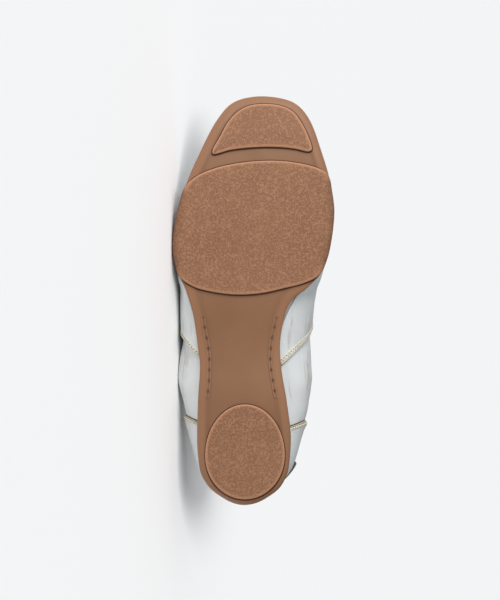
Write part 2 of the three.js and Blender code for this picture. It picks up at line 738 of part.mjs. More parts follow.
// Finishes
const finish = (color, roughness, metalness = 0) => new THREE.MeshStandardMaterial({ color, roughness, metalness });
const rubber = finish(0x96694c, 0.65);
const leather = finish(0xc8ccce, 0.4);
const lining = finish(0xd8d2c4, 0.9);
const tabCloth = finish(0x6e6a62, 0.85);
const laceCloth = finish(0xe6e3da, 0.9);
const eyeletMetal = finish(0xb9bcc0, 0.35, 0.8);

const shoe = new THREE.Group();
function piece(name, geometry, material, place = null) {
  const faceted = geometry.index ? geometry.toNonIndexed() : geometry;
  faceted.computeVertexNormals();
  const mesh = new THREE.Mesh(faceted, material);
  mesh.name = name;
  if (place) {
    mesh.position.copy(place.position);
    mesh.quaternion.copy(place.turn);
  }
  shoe.add(mesh);
}

piece("outsole", outsole(), rubber);
piece("insole", insole(), lining);
piece("upper", upperShell(), leather);
piece("vamp_panel", vampPanel(), leather);
piece("heel_counter", heelCounter(), leather);
piece("facing_lateral", facing(-1), leather);
piece("facing_medial", facing(1), leather);
piece("heel_tab", heelTab(), tabCloth);
piece("tongue", tongue(), leather);
for (const { around, side, pair } of eyeletPlaces) {
  const turn = turnTo(upperNormal(around, eyeletRow));
  const position = onUpper(around, eyeletRow, fitGap + overlayThickness + fitGap);
  piece(`eyelet_${side < 0 ? "lateral" : "medial"}_${pair}`, eyelet(), eyeletMetal, { position, turn });
}
eyeletAlongs.forEach((along, i) => piece(`lace_bar_${i + 1}`, laceBar(along), laceCloth));

// All corners of the shoe and its middle of volume, each piece weighed by its density
const density = new Map([[rubber, 1.15], [leather, 0.8], [lining, 0.4], [tabCloth, 0.6], [laceCloth, 0.6]]);
function measureShoe() {
  shoe.updateMatrixWorld(true);
  const corners = [];
  const middle = new THREE.Vector3();
  let weight = 0;
  for (const mesh of shoe.children) {
    const position = mesh.geometry.attributes.position;
    const points = [];
    for (let i = 0; i < position.count; i += 1) {
      points.push(new THREE.Vector3().fromBufferAttribute(position, i).applyMatrix4(mesh.matrixWorld));
    }
    for (let i = 0; i < points.length; i += 3) {
      const [a, b, c] = points.slice(i, i + 3);
      const share = a.dot(b.clone().cross(c)) * (density.get(mesh.material) ?? 1);
      weight += share;
      middle.addScaledVector(a.clone().add(b).add(c), share / 4);
    }
    corners.push(...points);
  }
  return { corners, middle: middle.divideScalar(weight) };
}

// The face of the shoe's hull on the lateral side that carries the weight: the widest one under its middle
// that leaves the sole turned a little upwards, resting on the sole's edge and the upper
function lyingFace({ corners, middle }) {
  const hull = new ConvexHull().setFromPoints(corners);
  let best = null;
  for (const face of hull.faces) {
    if (face.normal.y > -0.8 || face.normal.z < 0) continue;
    const edge = face.edge;
    const points = [edge.head().point, edge.next.head().point, edge.prev.head().point];
    const foot = middle.clone().addScaledVector(face.normal, -face.normal.dot(middle.clone().sub(points[0])));
    const inside = new THREE.Triangle(...points).containsPoint(foot);
    if (inside && (!best || face.area > best.area)) best = face;
  }
  return best.normal.clone();
}

// Lay the shoe down: sole towards -y, toe towards -x, lateral side on the floor
const downwards = lyingFace(measureShoe());
const medialUp = downwards.clone().negate();
const toeLeft = new THREE.Vector3(-1, 0, 0).addScaledVector(medialUp, medialUp.x).normalize();
const topBack = medialUp.clone().cross(toeLeft);
const toFloor = new THREE.Matrix4().makeBasis(toeLeft, topBack, medialUp).transpose();
const group = new THREE.Group();
group.add(shoe);
shoe.quaternion.setFromRotationMatrix(toFloor);
const box = new THREE.Box3().setFromObject(shoe, true);
shoe.position.set(-(box.min.x + box.max.x) / 2, -(box.min.y + box.max.y) / 2, -box.min.z);

export default group;
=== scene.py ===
"""A low right-foot leather sneaker, empty, lying on its lateral side on a pale floor.

Shapes are worked out in the standing shoe's own frame, in millimetres: x runs from heel to toe, y towards the
medial side, z up from the tread. to_floor lays them down where the solid model lies.
"""

import json
import math

import bmesh
import bpy
import numpy as np
from mathutils import Matrix, Vector


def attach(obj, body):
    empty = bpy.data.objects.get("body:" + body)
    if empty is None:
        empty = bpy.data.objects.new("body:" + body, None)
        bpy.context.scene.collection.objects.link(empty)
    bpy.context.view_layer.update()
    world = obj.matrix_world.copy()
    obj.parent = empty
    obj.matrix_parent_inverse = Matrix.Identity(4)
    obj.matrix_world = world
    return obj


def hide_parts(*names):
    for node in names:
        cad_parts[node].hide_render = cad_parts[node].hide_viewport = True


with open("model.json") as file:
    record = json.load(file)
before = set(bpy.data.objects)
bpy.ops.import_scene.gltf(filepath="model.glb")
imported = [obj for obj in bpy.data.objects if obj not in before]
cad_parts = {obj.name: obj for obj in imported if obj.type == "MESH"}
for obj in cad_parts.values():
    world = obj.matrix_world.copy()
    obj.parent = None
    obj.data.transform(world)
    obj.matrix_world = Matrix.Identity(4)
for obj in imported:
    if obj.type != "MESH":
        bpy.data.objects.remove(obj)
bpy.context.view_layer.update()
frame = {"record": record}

# Driving sizes of the shoe, in millimetres
SOLE_LENGTH = 260.0
BALL_WIDTH = 100.0
WAIST_WIDTH = 52.0
HEEL_WIDTH = 60.0
INSTEP_HEIGHT = 88.0
TOE_SPRING = 10.0
ARCH_LIFT = 2.5
PAD_HEIGHT = 2.2
FORE_SOLE_THICKNESS = 4.5
HEEL_SOLE_THICKNESS = 9.0
SOLE_EDGE_ROUND = 4.5
BALL_PAD_OVERHANG = 0.2
PAD_EDGE_ROUND = 1.0
WALL_THICKNESS = 2.0
COLLAR_PADDING = 2.4
OVERLAY_THICKNESS = 1.2
FEATHER_INSET = 3.2
INSOLE_THICKNESS = 3.5
TONGUE_THICKNESS = 4.0
TONGUE_TIP_LENGTH = 13.0
EYELET_PAIRS = 6
EYELET_RADIUS = 3.0
EYELET_HOLE_RADIUS = 1.7
LACE_WIDTH = 5.5
LACE_THICKNESS = 1.4
FIT_GAP = 0.3
THROAT_END = 0.691
FACING_START = 0.42
FACING_END = 0.63
FACING_LOWER_EDGE = 0.76
EYELET_ROW = 0.885
FIRST_EYELET = FACING_START + 0.022
LAST_EYELET = FACING_END - 0.018
FACING_RUN = 54.0
FACING_RISE = 17.0
FACING_CORNER = 5.5
TAB_THICKNESS = 1.0
TAB_CORNER_LIFT = 1.7
RIB_LENGTH = 75.0
CREASE_STRENGTH = 1.3
TOP_OF_VAMP = FIT_GAP + OVERLAY_THICKNESS
REST_GAP = 0.05

# Tread pads: their middles as shares of sole length and ball width, how the ball pad rolls over the sides, and
# the painted shade on its rolled sides and how far it reaches
HEEL_PAD_MIDDLE = (0.122, -0.032)
BALL_PAD_MIDDLE = (0.676, 0.02)
TOE_PAD_MIDDLE = (0.92, 0.09)
PAD_SIDE_ROUND = 4.4
PAD_SIDE_SHADE = 0.42
PAD_SHADE_REACH = 6.5
BALL_TREAD_PLACE = (160.0, 0.0)

# Stitches: length, gap, half width and half height
TOP_STITCH = (1.9, 0.7, 0.27, 0.2)
COUNTER_STITCH = (1.8, 0.7, 0.28, 0.2)
TAB_STITCH = (1.8, 0.7, 0.3, 0.24)
TAPE_STITCH = (1.35, 0.85, 0.3, 0.24)
# Needle holes are dark capsules of painted shade
NEEDLE_HOLE = (0.85, 1.35, 0.42, 0.12)
MOCK_STEP = 1.15
MOCK_PIT_STEP = 6.8

# Surrounding light as a level and a slope by direction, places and powers of sun and lamp, in metres and watts
SKY_LEVEL = 0.62
SKY_SLOPE = (-0.42, -0.22, 0.0)
SUN_PLACE = (-0.2, -0.85, 0.5)
SUN_STRENGTH = 2.9
SUN_WIDTH_DEG = 25
LAMP_PLACE = (-0.75, -0.8, 0.36)
LAMP_TARGET = (0, 0, 0.05)
LAMP_POWER = 6.6
LAMP_SIZE = 0.5

# Camera: distance and height of the view in metres, sensor in millimetres, and what it looks at on the shoe
CAMERA_DISTANCE = 2.2
VIEW_HEIGHT = 0.3796
SENSOR_HEIGHT = 36.0
VIEW_CENTRE = (130.2, 0.0, 0.0)
FLOOR_REACH = 12.0

MILLIMETRE = 0.001
LATERAL = -1
MEDIAL = 1


def mix(a, b, share):
    """The value that lies the given share of the way from a to b."""
    return a + (b - a) * share


def smooth_step(start, end, value):
    """Rises from 0 to 1 between start and end with level ends: 3 s squared minus 2 s cubed."""
    share = np.clip((value - start) / (end - start), 0, 1)
    return share * share * (3 - 2 * share)


def bell(distance, width):
    """A soft hump: e to the minus of distance over width, squared."""
    return np.exp(-((distance / width) ** 2))


def smooth_curve(knots, values):
    """A curve through the knots that never overshoots: a cubic between each two, whose slope at a knot is the
    weighted harmonic mean of the slopes beside it, or level where they change sign."""
    knots, values = np.asarray(knots, float), np.asarray(values, float)
    steps = np.diff(knots)
    secants = np.diff(values) / steps
    slopes = np.concatenate([secants[:1], np.zeros(len(knots) - 2), secants[-1:]])
    before, after = secants[:-1], secants[1:]
    same_way = before * after > 0
    weight_before, weight_after = 2 * steps[1:] + steps[:-1], steps[1:] + 2 * steps[:-1]
    divided = weight_before / np.where(same_way, before, 1) + weight_after / np.where(same_way, after, 1)
    slopes[1:-1] = np.where(same_way, (weight_before + weight_after) / divided, 0)

    def curve(at):
        i = np.clip(np.searchsorted(knots, at) - 1, 0, len(steps) - 1)
        t = (at - knots[i]) / steps[i]
        leave = t * (1 - t) ** 2 * steps[i] * slopes[i]
        arrive = t * t * (t - 1) * steps[i] * slopes[i + 1]
        return mix(values[i], values[i + 1], t * t * (3 - 2 * t)) + leave + arrive

    return curve


# The way round the shoe: 0 at the heel, 0.5 at the toe by the lateral side, 1 at the heel again. "along" is the
# share of the length.
def angle_of(along):
    """The half-turn share whose cosine gives the place along: acos of 1 minus twice along, over pi."""
    return np.arccos(1 - 2 * np.asarray(along, float)) / math.pi


def along_of(around):
    """Share of the length at a place round the shoe: half of 1 minus the cosine of a whole turn."""
    return (1 - np.cos(2 * math.pi * np.asarray(around, float))) / 2


def around_at(along, side):
    """The place round the shoe that lies at a share of the length on one side."""
    half = angle_of(along) / 2
    return half if side == LATERAL else 1 - half


def side_of(around):
    """The side that a place round the shoe lies on."""
    return np.where(np.asarray(around, float) % 1 <= 0.5, LATERAL, MEDIAL)


def plan(length, width):
    """A place on the sole as shares of sole length and ball width."""
    return [length * SOLE_LENGTH, width * BALL_WIDTH]


def ring_curve(alongs, lateral, medial):
    """A smooth curve all the way round through one row of values for each side."""
    places = angle_of(alongs) / 2
    knots = np.concatenate([places, 1 - places[-2:0:-1]])
    values = np.concatenate([lateral, medial[-2:0:-1]])
    knots = np.concatenate([knots[-2:] - 1, knots, knots[:3] + 1])
    values = np.concatenate([values[-2:], values, values[:3]])
    curve = smooth_curve(knots, values)
    return lambda around: curve(np.asarray(around, float) % 1)


# Outline of the sole: place along, the width that the row follows, and the lateral and medial half width as
# shares of it
OUTLINE = np.array([
    [0, HEEL_WIDTH, 0.06, -0.06], [0.018, HEEL_WIDTH, 0.29, 0.18], [0.047, HEEL_WIDTH, 0.445, 0.33],
    [0.091, HEEL_WIDTH, 0.535, 0.41], [0.164, HEEL_WIDTH, 0.56, 0.433], [0.252, HEEL_WIDTH, 0.55, 0.39],
    [0.34, WAIST_WIDTH, 0.61, 0.379], [0.384, WAIST_WIDTH, 0.635, 0.365], [0.457, WAIST_WIDTH, 0.685, 0.415],
    [0.501, BALL_WIDTH, 0.385, 0.267], [0.53, BALL_WIDTH, 0.412, 0.362], [0.555, BALL_WIDTH, 0.444, 0.425],
    [0.594, BALL_WIDTH, 0.476, 0.482], [0.633, BALL_WIDTH, 0.489, 0.508], [0.711, BALL_WIDTH, 0.463, 0.533],
    [0.789, BALL_WIDTH, 0.4, 0.508], [0.867, BALL_WIDTH, 0.311, 0.451], [0.945, BALL_WIDTH, 0.203, 0.374],
    [0.984, BALL_WIDTH, 0.108, 0.279], [1, BALL_WIDTH, -0.076, 0.076],
])
outline_y = ring_curve(OUTLINE[:, 0], -OUTLINE[:, 1] * OUTLINE[:, 2], OUTLINE[:, 1] * OUTLINE[:, 3])


def sole_edge(around, inset=0.0):
    """A point of the sole's outline, moved inwards square to it: the outline's slope turned a quarter."""
    step = 1e-4
    x, y = SOLE_LENGTH * along_of(around), outline_y(around)
    dx = SOLE_LENGTH * (along_of(around + step) - along_of(around - step))
    dy = outline_y(around + step) - outline_y(around - step)
    size = np.hypot(dx, dy)
    return x - dy / size * inset, y + dx / size * inset


def tread_height(x):
    """The toe spring: a parabola over the last three tenths of the sole."""
    return TOE_SPRING * np.maximum(0, (x / SOLE_LENGTH - 0.7) / 0.3) ** 2


def base_bottom(x):
    """Underside of the base: the tread, one pad up, and a squared sine of lift under the arch."""
    arch = np.sin(math.pi * np.clip((x / SOLE_LENGTH - 0.25) / 0.27, 0, 1)) ** 2
    return tread_height(x) + PAD_HEIGHT + ARCH_LIFT * arch


def footbed(x):
    """Top of the rubber: thick under the heel, thin under the ball."""
    thickness = mix(HEEL_SOLE_THICKNESS, FORE_SOLE_THICKNESS, smooth_step(0.15, 0.6, x / SOLE_LENGTH))
    return tread_height(x) + PAD_HEIGHT + thickness


def rim_share(along):
    """The rim stands up round heel and forefoot and dies out in the waist."""
    return 1 - smooth_step(0.16, 0.27, along) + smooth_step(0.54, 0.62, along)


def rim_row(around):
    """The row up the rib where the rim ends."""
    return 0.06 * rim_share(along_of(around))


def overlay_foot_row(around):
    """The row up the rib where the overlays begin, just under the rim's edge."""
    return 0.004 + 0.05 * rim_share(along_of(around))


# Control lines of the upper: place along, lateral and medial half width as shares of the ball width, and a
# height as a share of the instep height
FLANK = np.array([
    [0, 0.035, -0.035, 0.32], [0.018, 0.13, 0.065, 0.32], [0.047, 0.25, 0.172, 0.32],
    [0.105, 0.36, 0.306, 0.31], [0.164, 0.415, 0.355, 0.3], [0.252, 0.49, 0.445, 0.27],
    [0.34, 0.54, 0.475, 0.24], [0.442, 0.53, 0.515, 0.23], [0.501, 0.53, 0.53, 0.235],
    [0.545, 0.525, 0.52, 0.245], [0.633, 0.5, 0.515, 0.27], [0.711, 0.48, 0.545, 0.285],
    [0.789, 0.415, 0.52, 0.3], [0.867, 0.328, 0.464, 0.32], [0.945, 0.22, 0.387, 0.35],
    [0.984, 0.125, 0.3, 0.375], [1, -0.076, 0.076, 0.385],
])
SHOULDER = np.array([
    [0, 0.035, -0.035, 0.2], [0.018, 0.165, 0.11, 0.2], [0.047, 0.25, 0.19, 0.19],
    [0.105, 0.33, 0.275, 0.18], [0.164, 0.38, 0.33, 0.16], [0.252, 0.45, 0.41, 0.14],
    [0.34, 0.49, 0.44, 0.2], [0.42, 0.455, 0.42, 0.27], [0.501, 0.4, 0.385, 0.16],
    [0.56, 0.35, 0.365, 0.08], [0.633, 0.3, 0.34, 0.02], [0.711, 0.245, 0.315, 0],
    [0.789, 0.2, 0.302, 0], [0.867, 0.14, 0.28, 0], [0.945, 0.074, 0.243, 0],
    [0.984, 0.02, 0.19, 0], [1, -0.076, 0.076, 0],
])
# Top line: place along the true length, height, and where its middle lies
TOP_LINE = np.array([
    [0.03, 0.755, -0.035], [0.1, 0.73, -0.03], [0.23, 0.62, -0.01], [0.31, 0.7, -0.002], [0.365, 0.885, 0.002],
    [0.408, 1, 0.005], [0.48, 0.91, 0.01], [0.558, 0.79, 0.015], [0.635, 0.68, 0.022], [0.712, 0.585, 0.035],
    [0.788, 0.51, 0.05], [0.854, 0.455, 0.064], [0.92, 0.4, 0.076],
])
# Half opening of collar and throat
OPENING = np.array([
    [0, 0], [0.02, 0.14], [0.06, 0.21], [0.12, 0.26], [0.2, 0.285], [0.28, 0.275], [0.35, 0.23], [0.4, 0.175],
    [0.435, 0.135], [0.5, 0.125], [0.58, 0.115], [0.645, 0.09], [0.675, 0.06], [THROAT_END, 0], [1, 0],
])
FLANK_REACH = (-1.0, SOLE_LENGTH + 3)
SHOULDER_REACH = (-1.0, SOLE_LENGTH - 14)
TOP_REACH = (12.0, SOLE_LENGTH - 25)


def control_line(rows, size, column):
    """One column of a control table as a curve round the shoe."""
    return ring_curve(rows[:, 0], rows[:, column] * size, rows[:, column] * size)


flank_y = ring_curve(FLANK[:, 0], -FLANK[:, 1] * BALL_WIDTH, FLANK[:, 2] * BALL_WIDTH)
flank_z = control_line(FLANK, INSTEP_HEIGHT, 3)
shoulder_y = ring_curve(SHOULDER[:, 0], -SHOULDER[:, 1] * BALL_WIDTH, SHOULDER[:, 2] * BALL_WIDTH)
shoulder_drop = control_line(SHOULDER, INSTEP_HEIGHT, 3)
half_opening = ring_curve(OPENING[:, 0], -OPENING[:, 1] * BALL_WIDTH, OPENING[:, 1] * BALL_WIDTH)
top_height = smooth_curve(TOP_LINE[:, 0] * SOLE_LENGTH, TOP_LINE[:, 1] * INSTEP_HEIGHT)
top_middle = smooth_curve(TOP_LINE[:, 0] * SOLE_LENGTH, TOP_LINE[:, 2] * BALL_WIDTH)


def top_slope(x):
    """Slope of the top line over one millimetre."""
    return top_height(x + 0.5) - top_height(x - 0.5)


# Creases: side, place along and row of both ends, width and depth in millimetres. A negative
# depth is a ridge.
CREASES = [
    (LATERAL, 0.66, 0.3, 0.70, 0.95, 4.0, 0.9), (LATERAL, 0.63, 0.28, 0.655, 0.7, 4.5, -0.7),
    (MEDIAL, 0.67, 0.3, 0.71, 0.95, 4.0, 0.9), (MEDIAL, 0.64, 0.26, 0.665, 0.7, 4.5, -0.6),
    (LATERAL, 0.72, 0.35, 0.745, 0.95, 3.5, 0.6), (MEDIAL, 0.73, 0.4, 0.75, 0.95, 3.5, 0.6),
    (LATERAL, 0.34, 0.1, 0.44, 0.5, 7.0, 0.9), (LATERAL, 0.27, 0.15, 0.33, 0.6, 8.0, -0.8),
    (MEDIAL, 0.36, 0.12, 0.45, 0.5, 6.0, 0.8), (MEDIAL, 0.28, 0.1, 0.33, 0.55, 7.0, -0.7),
    (LATERAL, 0.17, 0.6, 0.3, 0.78, 5.0, 0.8), (MEDIAL, 0.16, 0.62, 0.3, 0.75, 5.0, 0.8),
    (LATERAL, 0.2, 0.45, 0.3, 0.55, 5.0, 0.6), (MEDIAL, 0.2, 0.42, 0.28, 0.52, 5.0, 0.6),
    (LATERAL, 0.5, 0.12, 0.56, 0.4, 6.0, 0.6), (MEDIAL, 0.5, 0.15, 0.55, 0.42, 6.0, 0.6),
]


def crease_lift(around, row):
    """Soft troughs and ridges: for each crease a bell over the distance from its line, fading at its ends."""
    along = along_of(around)
    side = side_of(around)
    x, y = along * SOLE_LENGTH, row * RIB_LENGTH
    lift = np.zeros(np.broadcast(x, y).shape)
    for crease_side, along_0, row_0, along_1, row_1, width, depth in CREASES:
        start = np.array([along_0 * SOLE_LENGTH, row_0 * RIB_LENGTH])
        run = np.array([along_1 * SOLE_LENGTH, row_1 * RIB_LENGTH]) - start
        share = ((x - start[0]) * run[0] + (y - start[1]) * run[1]) / (run @ run)
        held = np.clip(share, 0, 1)
        away = np.hypot(x - start[0] - held * run[0], y - start[1] - held * run[1])
        fade = smooth_step(0, 0.25, held) * (1 - smooth_step(0.75, 1, held))
        lift = lift - np.where(side == crease_side, CREASE_STRENGTH * depth * bell(away, width) * fade, 0)
    return lift * smooth_step(0.06, 0.16, row)


def upper_point(around, row):
    """Outside of the upper: at each place a cubic rib from the feather, row 0, to the top line, row 1, over the
    control points of flank and shoulder."""
    around, row = np.broadcast_arrays(np.asarray(around, float), np.asarray(row, float))
    along = along_of(around)
    feather_x, feather_y = sole_edge(around, FEATHER_INSET)
    top_x, shoulder_x = mix(*TOP_REACH, along), mix(*SHOULDER_REACH, along)
    top_z = top_height(top_x)
    shoulder_z = top_z + top_slope(top_x) * (shoulder_x - top_x) - shoulder_drop(around)
    controls = [
        (feather_x, feather_y, footbed(feather_x) + FIT_GAP),
        (mix(*FLANK_REACH, along), flank_y(around), flank_z(around)),
        (shoulder_x, shoulder_y(around), shoulder_z),
        (top_x, top_middle(top_x) + half_opening(around), top_z),
    ]
    rest = 1 - row
    weights = [rest**3, 3 * row * rest**2, 3 * row**2 * rest, row**3]
    return sum(weight[..., None] * np.stack(point, -1) for weight, point in zip(weights, controls))


def unit(vectors):
    """Vectors made one long."""
    return vectors / np.maximum(np.linalg.norm(vectors, axis=-1, keepdims=True), 1e-12)


def is_sealed(around):
    """True where the two sides meet at the ridge, in front of the throat."""
    return along_of(around) > THROAT_END - 1e-3


def upper_normal(around, row):
    """Outward direction: the step round the shoe crossed with the step up the rib. On the sealed ridge it
    stands square to the ridge."""
    around, row = np.broadcast_arrays(np.asarray(around, float), np.asarray(row, float))
    step = 1e-3
    forward = upper_point(around + step, row) - upper_point(around - step, row)
    upward = upper_point(around, np.minimum(1, row + step)) - upper_point(around, np.maximum(0, row - step))
    normal = unit(np.cross(forward, upward))
    slope = top_slope(mix(*TOP_REACH, along_of(around)))
    ridge = unit(np.stack([-slope, 0 * slope, 1 + 0 * slope], -1))
    on_ridge = (row > 0.999) & is_sealed(around)
    return np.where(on_ridge[..., None], ridge, normal)


def on_upper(around, row, lift):
    """A point lifted square off the creased upper."""
    around, row = np.broadcast_arrays(np.asarray(around, float), np.asarray(row, float))
    height = np.asarray(lift + crease_lift(around, row), float)
    return upper_point(around, row) + upper_normal(around, row) * height[..., None]


def inside_upper(around, row, clearance=0.0):
    """A point inside the wall, which thickens into the collar behind the facings. It stays above the
    footbed."""
    behind_facings = 1 - smooth_step(0.3, 0.42, along_of(around))
    wall = WALL_THICKNESS + COLLAR_PADDING * smooth_step(0.6, 0.95, row) * behind_facings
    point = on_upper(around, row, -wall - clearance)
    point[..., 2] = np.maximum(point[..., 2], footbed(point[..., 0]) + FIT_GAP)
    return point


def lying_pose():
    """Forward, medial and up direction of the lying shoe and the floor place of its origin, from the two tread
    places that the solid model gives: the run between them, turned by its known slant in plan."""
    mounts = {mount["name"]: mount for mount in frame["record"]["mounts"]}
    heel, ball = (np.array(mounts[name]["pos_m"]) for name in ("heel_tread", "ball_tread"))
    heel_plan = plan(*HEEL_PAD_MIDDLE)
    length, offset = np.array(BALL_TREAD_PLACE) - heel_plan
    up = unit(-np.array(mounts["heel_tread"]["axis"]))
    run = ball - heel
    run -= up * (run @ up)
    forward = unit(length * run - offset * np.cross(up, run))
    medial = np.cross(up, forward)
    origin = heel - MILLIMETRE * (forward * heel_plan[0] + medial * heel_plan[1])
    return forward, medial, up, origin


FORWARD, MEDIALWARDS, UP, ORIGIN = lying_pose()


def to_floor(points):
    """Shoe millimetres to metres on the floor: the origin plus each coordinate along its own direction."""
    return ORIGIN + MILLIMETRE * points @ np.stack([FORWARD, MEDIALWARDS, UP])


def grid_quads(columns, rows, wrap_columns=False, wrap_rows=False, first=0):
    """Faces of a grid whose point i, j has the number i times rows plus j."""
    i = np.arange(columns if wrap_columns else columns - 1)[:, None]
    j = np.arange(rows if wrap_rows else rows - 1)[None]
    k, l = (i + 1) % columns, (j + 1) % rows
    corners = [i * rows + j, k * rows + j, k * rows + l, i * rows + l]
    return first + np.stack(np.broadcast_arrays(*corners), -1).reshape(-1, 4)


def make_piece(name, parts, materials, shares=None, replaced=(), smooth_angle=50):
    """One object from point grids in shoe millimetres. Each part is points, faces and a material number, and
    shares are named values for each point. What rests is pressed flat on the floor: heights below the gap take
    the gap's. Equal points are merged, and faces turned outwards."""
    points = np.concatenate([part[0].reshape(-1, 3) for part in parts])
    starts = np.cumsum([0] + [part[0].size // 3 for part in parts[:-1]])
    faces = np.concatenate([part[1] + start for part, start in zip(parts, starts)])
    numbers = np.concatenate([np.full(len(part[1]), part[2]) for part in parts])
    mesh = bpy.data.meshes.new(name)
    places = to_floor(points)
    places[:, 2] = np.maximum(places[:, 2], MILLIMETRE * REST_GAP)
    mesh.from_pydata(places, [], faces)
    mesh.polygons.foreach_set("material_index", numbers.astype(np.int32))
    for key, values in (shares or {}).items():
        layer = mesh.attributes.new(key, "FLOAT", "POINT")
        layer.data.foreach_set("value", np.concatenate([np.ravel(v) for v in values]).astype(np.float32))
    for material in materials:
        mesh.materials.append(material)
    welded = bmesh.new()
    welded.from_mesh(mesh)
    bmesh.ops.remove_doubles(welded, verts=welded.verts, dist=2e-6)
    bmesh.ops.recalc_face_normals(welded, faces=welded.faces)
    welded.to_mesh(mesh)
    welded.free()
    mesh.polygons.foreach_set("use_smooth", np.ones(len(mesh.polygons), bool))
    mesh.set_sharp_from_angle(angle=math.radians(smooth_angle))
    piece = bpy.data.objects.new(name, mesh)
    bpy.context.scene.collection.objects.link(piece)
    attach(piece, "root")
    if replaced:
        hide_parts(*replaced)
    return piece


# Materials
def new_material(name):
    """An empty node material with its main shader. Returns both."""
    material = bpy.data.materials.new(name)
    material.use_nodes = True
    return material, material.node_tree.nodes["Principled BSDF"]


def node(material, kind, inputs=None, **settings):
    """Adds one node. Inputs are plain values or the outputs of other nodes."""
    added = material.node_tree.nodes.new(kind)
    for key, value in settings.items():
        setattr(added, key, value)
    for key, value in (inputs or {}).items():
        if isinstance(value, bpy.types.NodeSocket):
            material.node_tree.links.new(value, added.inputs[key])
        else:
            added.inputs[key].default_value = value
    return added


def object_place(material, stretch=(1, 1, 1)):
    """Object coordinates, scaled along each axis."""
    place = node(material, "ShaderNodeTexCoord").outputs["Object"]
    return node(material, "ShaderNodeMapping", {"Vector": place, "Scale": stretch}).outputs["Vector"]


def noise(material, place, scale, detail=3.0, roughness=0.55):
    """Cloudy noise from 0 to 1."""
    inputs = {"Vector": place, "Scale": scale, "Detail": detail, "Roughness": roughness}
    return node(material, "ShaderNodeTexNoise", inputs).outputs["Fac"]


def ranged(material, value, low, high, to_low=0.0, to_high=1.0):
    """Brings low to high of a value to new ends, smoothly and clipped."""
    inputs = {"Value": value, "From Min": low, "From Max": high, "To Min": to_low, "To Max": to_high}
    return node(material, "ShaderNodeMapRange", inputs, interpolation_type="SMOOTHSTEP").outputs["Result"]


def blended(material, share, first, second, how="MIX"):
    """One colour over another by a share."""
    mixer = node(material, "ShaderNodeMix", data_type="RGBA", blend_type=how)
    links = material.node_tree.links
    for socket, value in ((mixer.inputs[0], share), (mixer.inputs[6], first), (mixer.inputs[7], second)):
        if isinstance(value, bpy.types.NodeSocket):
            links.new(value, socket)
        else:
            socket.default_value = value
    return mixer.outputs[2]


def maths(material, how, first, second=0.0):
    """One sum on two values."""
    added = node(material, "ShaderNodeMath", operation=how)
    for socket, value in zip(added.inputs, (first, second)):
        if isinstance(value, bpy.types.NodeSocket):
            material.node_tree.links.new(value, socket)
        else:
            socket.default_value = value
    return added.outputs[0]


def attribute(material, key):
    """A value that the mesh carries."""
    return node(material, "ShaderNodeAttribute", attribute_name=key).outputs["Fac"]


def bumped(material, shader, heights, before=None):
    """Chains bumps of (height, strength, distance in metres) into the shader's normal."""
    normal = before
    for height, strength, distance in heights:
        inputs = {"Height": height, "Strength": strength, "Distance": distance}
        if normal is not None:
            inputs["Normal"] = normal
        normal = node(material, "ShaderNodeBump", inputs).outputs["Normal"]
    material.node_tree.links.new(normal, shader.inputs["Normal"])


def linear(red, green, blue):
    """A colour as a screen shows it, 0 to 255, brought to linear light."""
    return tuple(((c / 255 + 0.055) / 1.055) ** 2.4 for c in (red, green, blue)) + (1.0,)


def link(material, output, shader, key):
    """Joins an output to a socket of the shader."""
    material.node_tree.links.new(output, shader.inputs[key])


def rubber_material(name, pebbled):
    """Gum rubber: two close caramel tones in clouds, a painted highlight, warmer and lighter, on rounded edges
    and painted shade in corners, grooves and pits. The pads have a pebble grain, winding ridges about a
    millimetre and a half apart where a cloudy noise crosses its middle, and the rest a soft satin."""
    material, shader = new_material(name)
    place = object_place(material)
    clouds = ranged(material, noise(material, place, 22), 0.3, 0.7)
    fine = noise(material, place, 900, 2)
    if pebbled:
        waved = maths(material, "SUBTRACT", noise(material, place, 540, 1.5), 0.5)
        ridge = ranged(material, maths(material, "ABSOLUTE", waved), 0.0, 0.085, 1.0, 0.0)
        tone = blended(material, clouds, linear(133, 91, 62), linear(126, 85, 57))
        tone = blended(material, maths(material, "MULTIPLY", ridge, 0.62), tone, linear(174, 128, 96))
        bumped(material, shader, [(ridge, 0.55, 0.0003), (fine, 0.15, 0.0001)])
        shader.inputs["Roughness"].default_value = 0.62
    else:
        tone = blended(material, clouds, linear(133, 93, 63), linear(127, 88, 59))
        bumped(material, shader, [(fine, 0.12, 0.0001), (noise(material, place, 60), 0.1, 0.0004)])
        rough = ranged(material, noise(material, place, 90), 0.3, 0.7, 0.44, 0.56)
        link(material, rough, shader, "Roughness")
    # edge is a painted highlight on rounded edges; corner is painted shade in corners, grooves, pits and on the
    # ball pad's rolled sides
    tone = blended(material, attribute(material, "edge"), tone, linear(192, 138, 103))
    tone = blended(material, attribute(material, "corner"), tone, linear(70, 39, 23))
    link(material, tone, shader, "Base Color")
    shader.inputs["Specular IOR Level"].default_value = 0.4
    return material


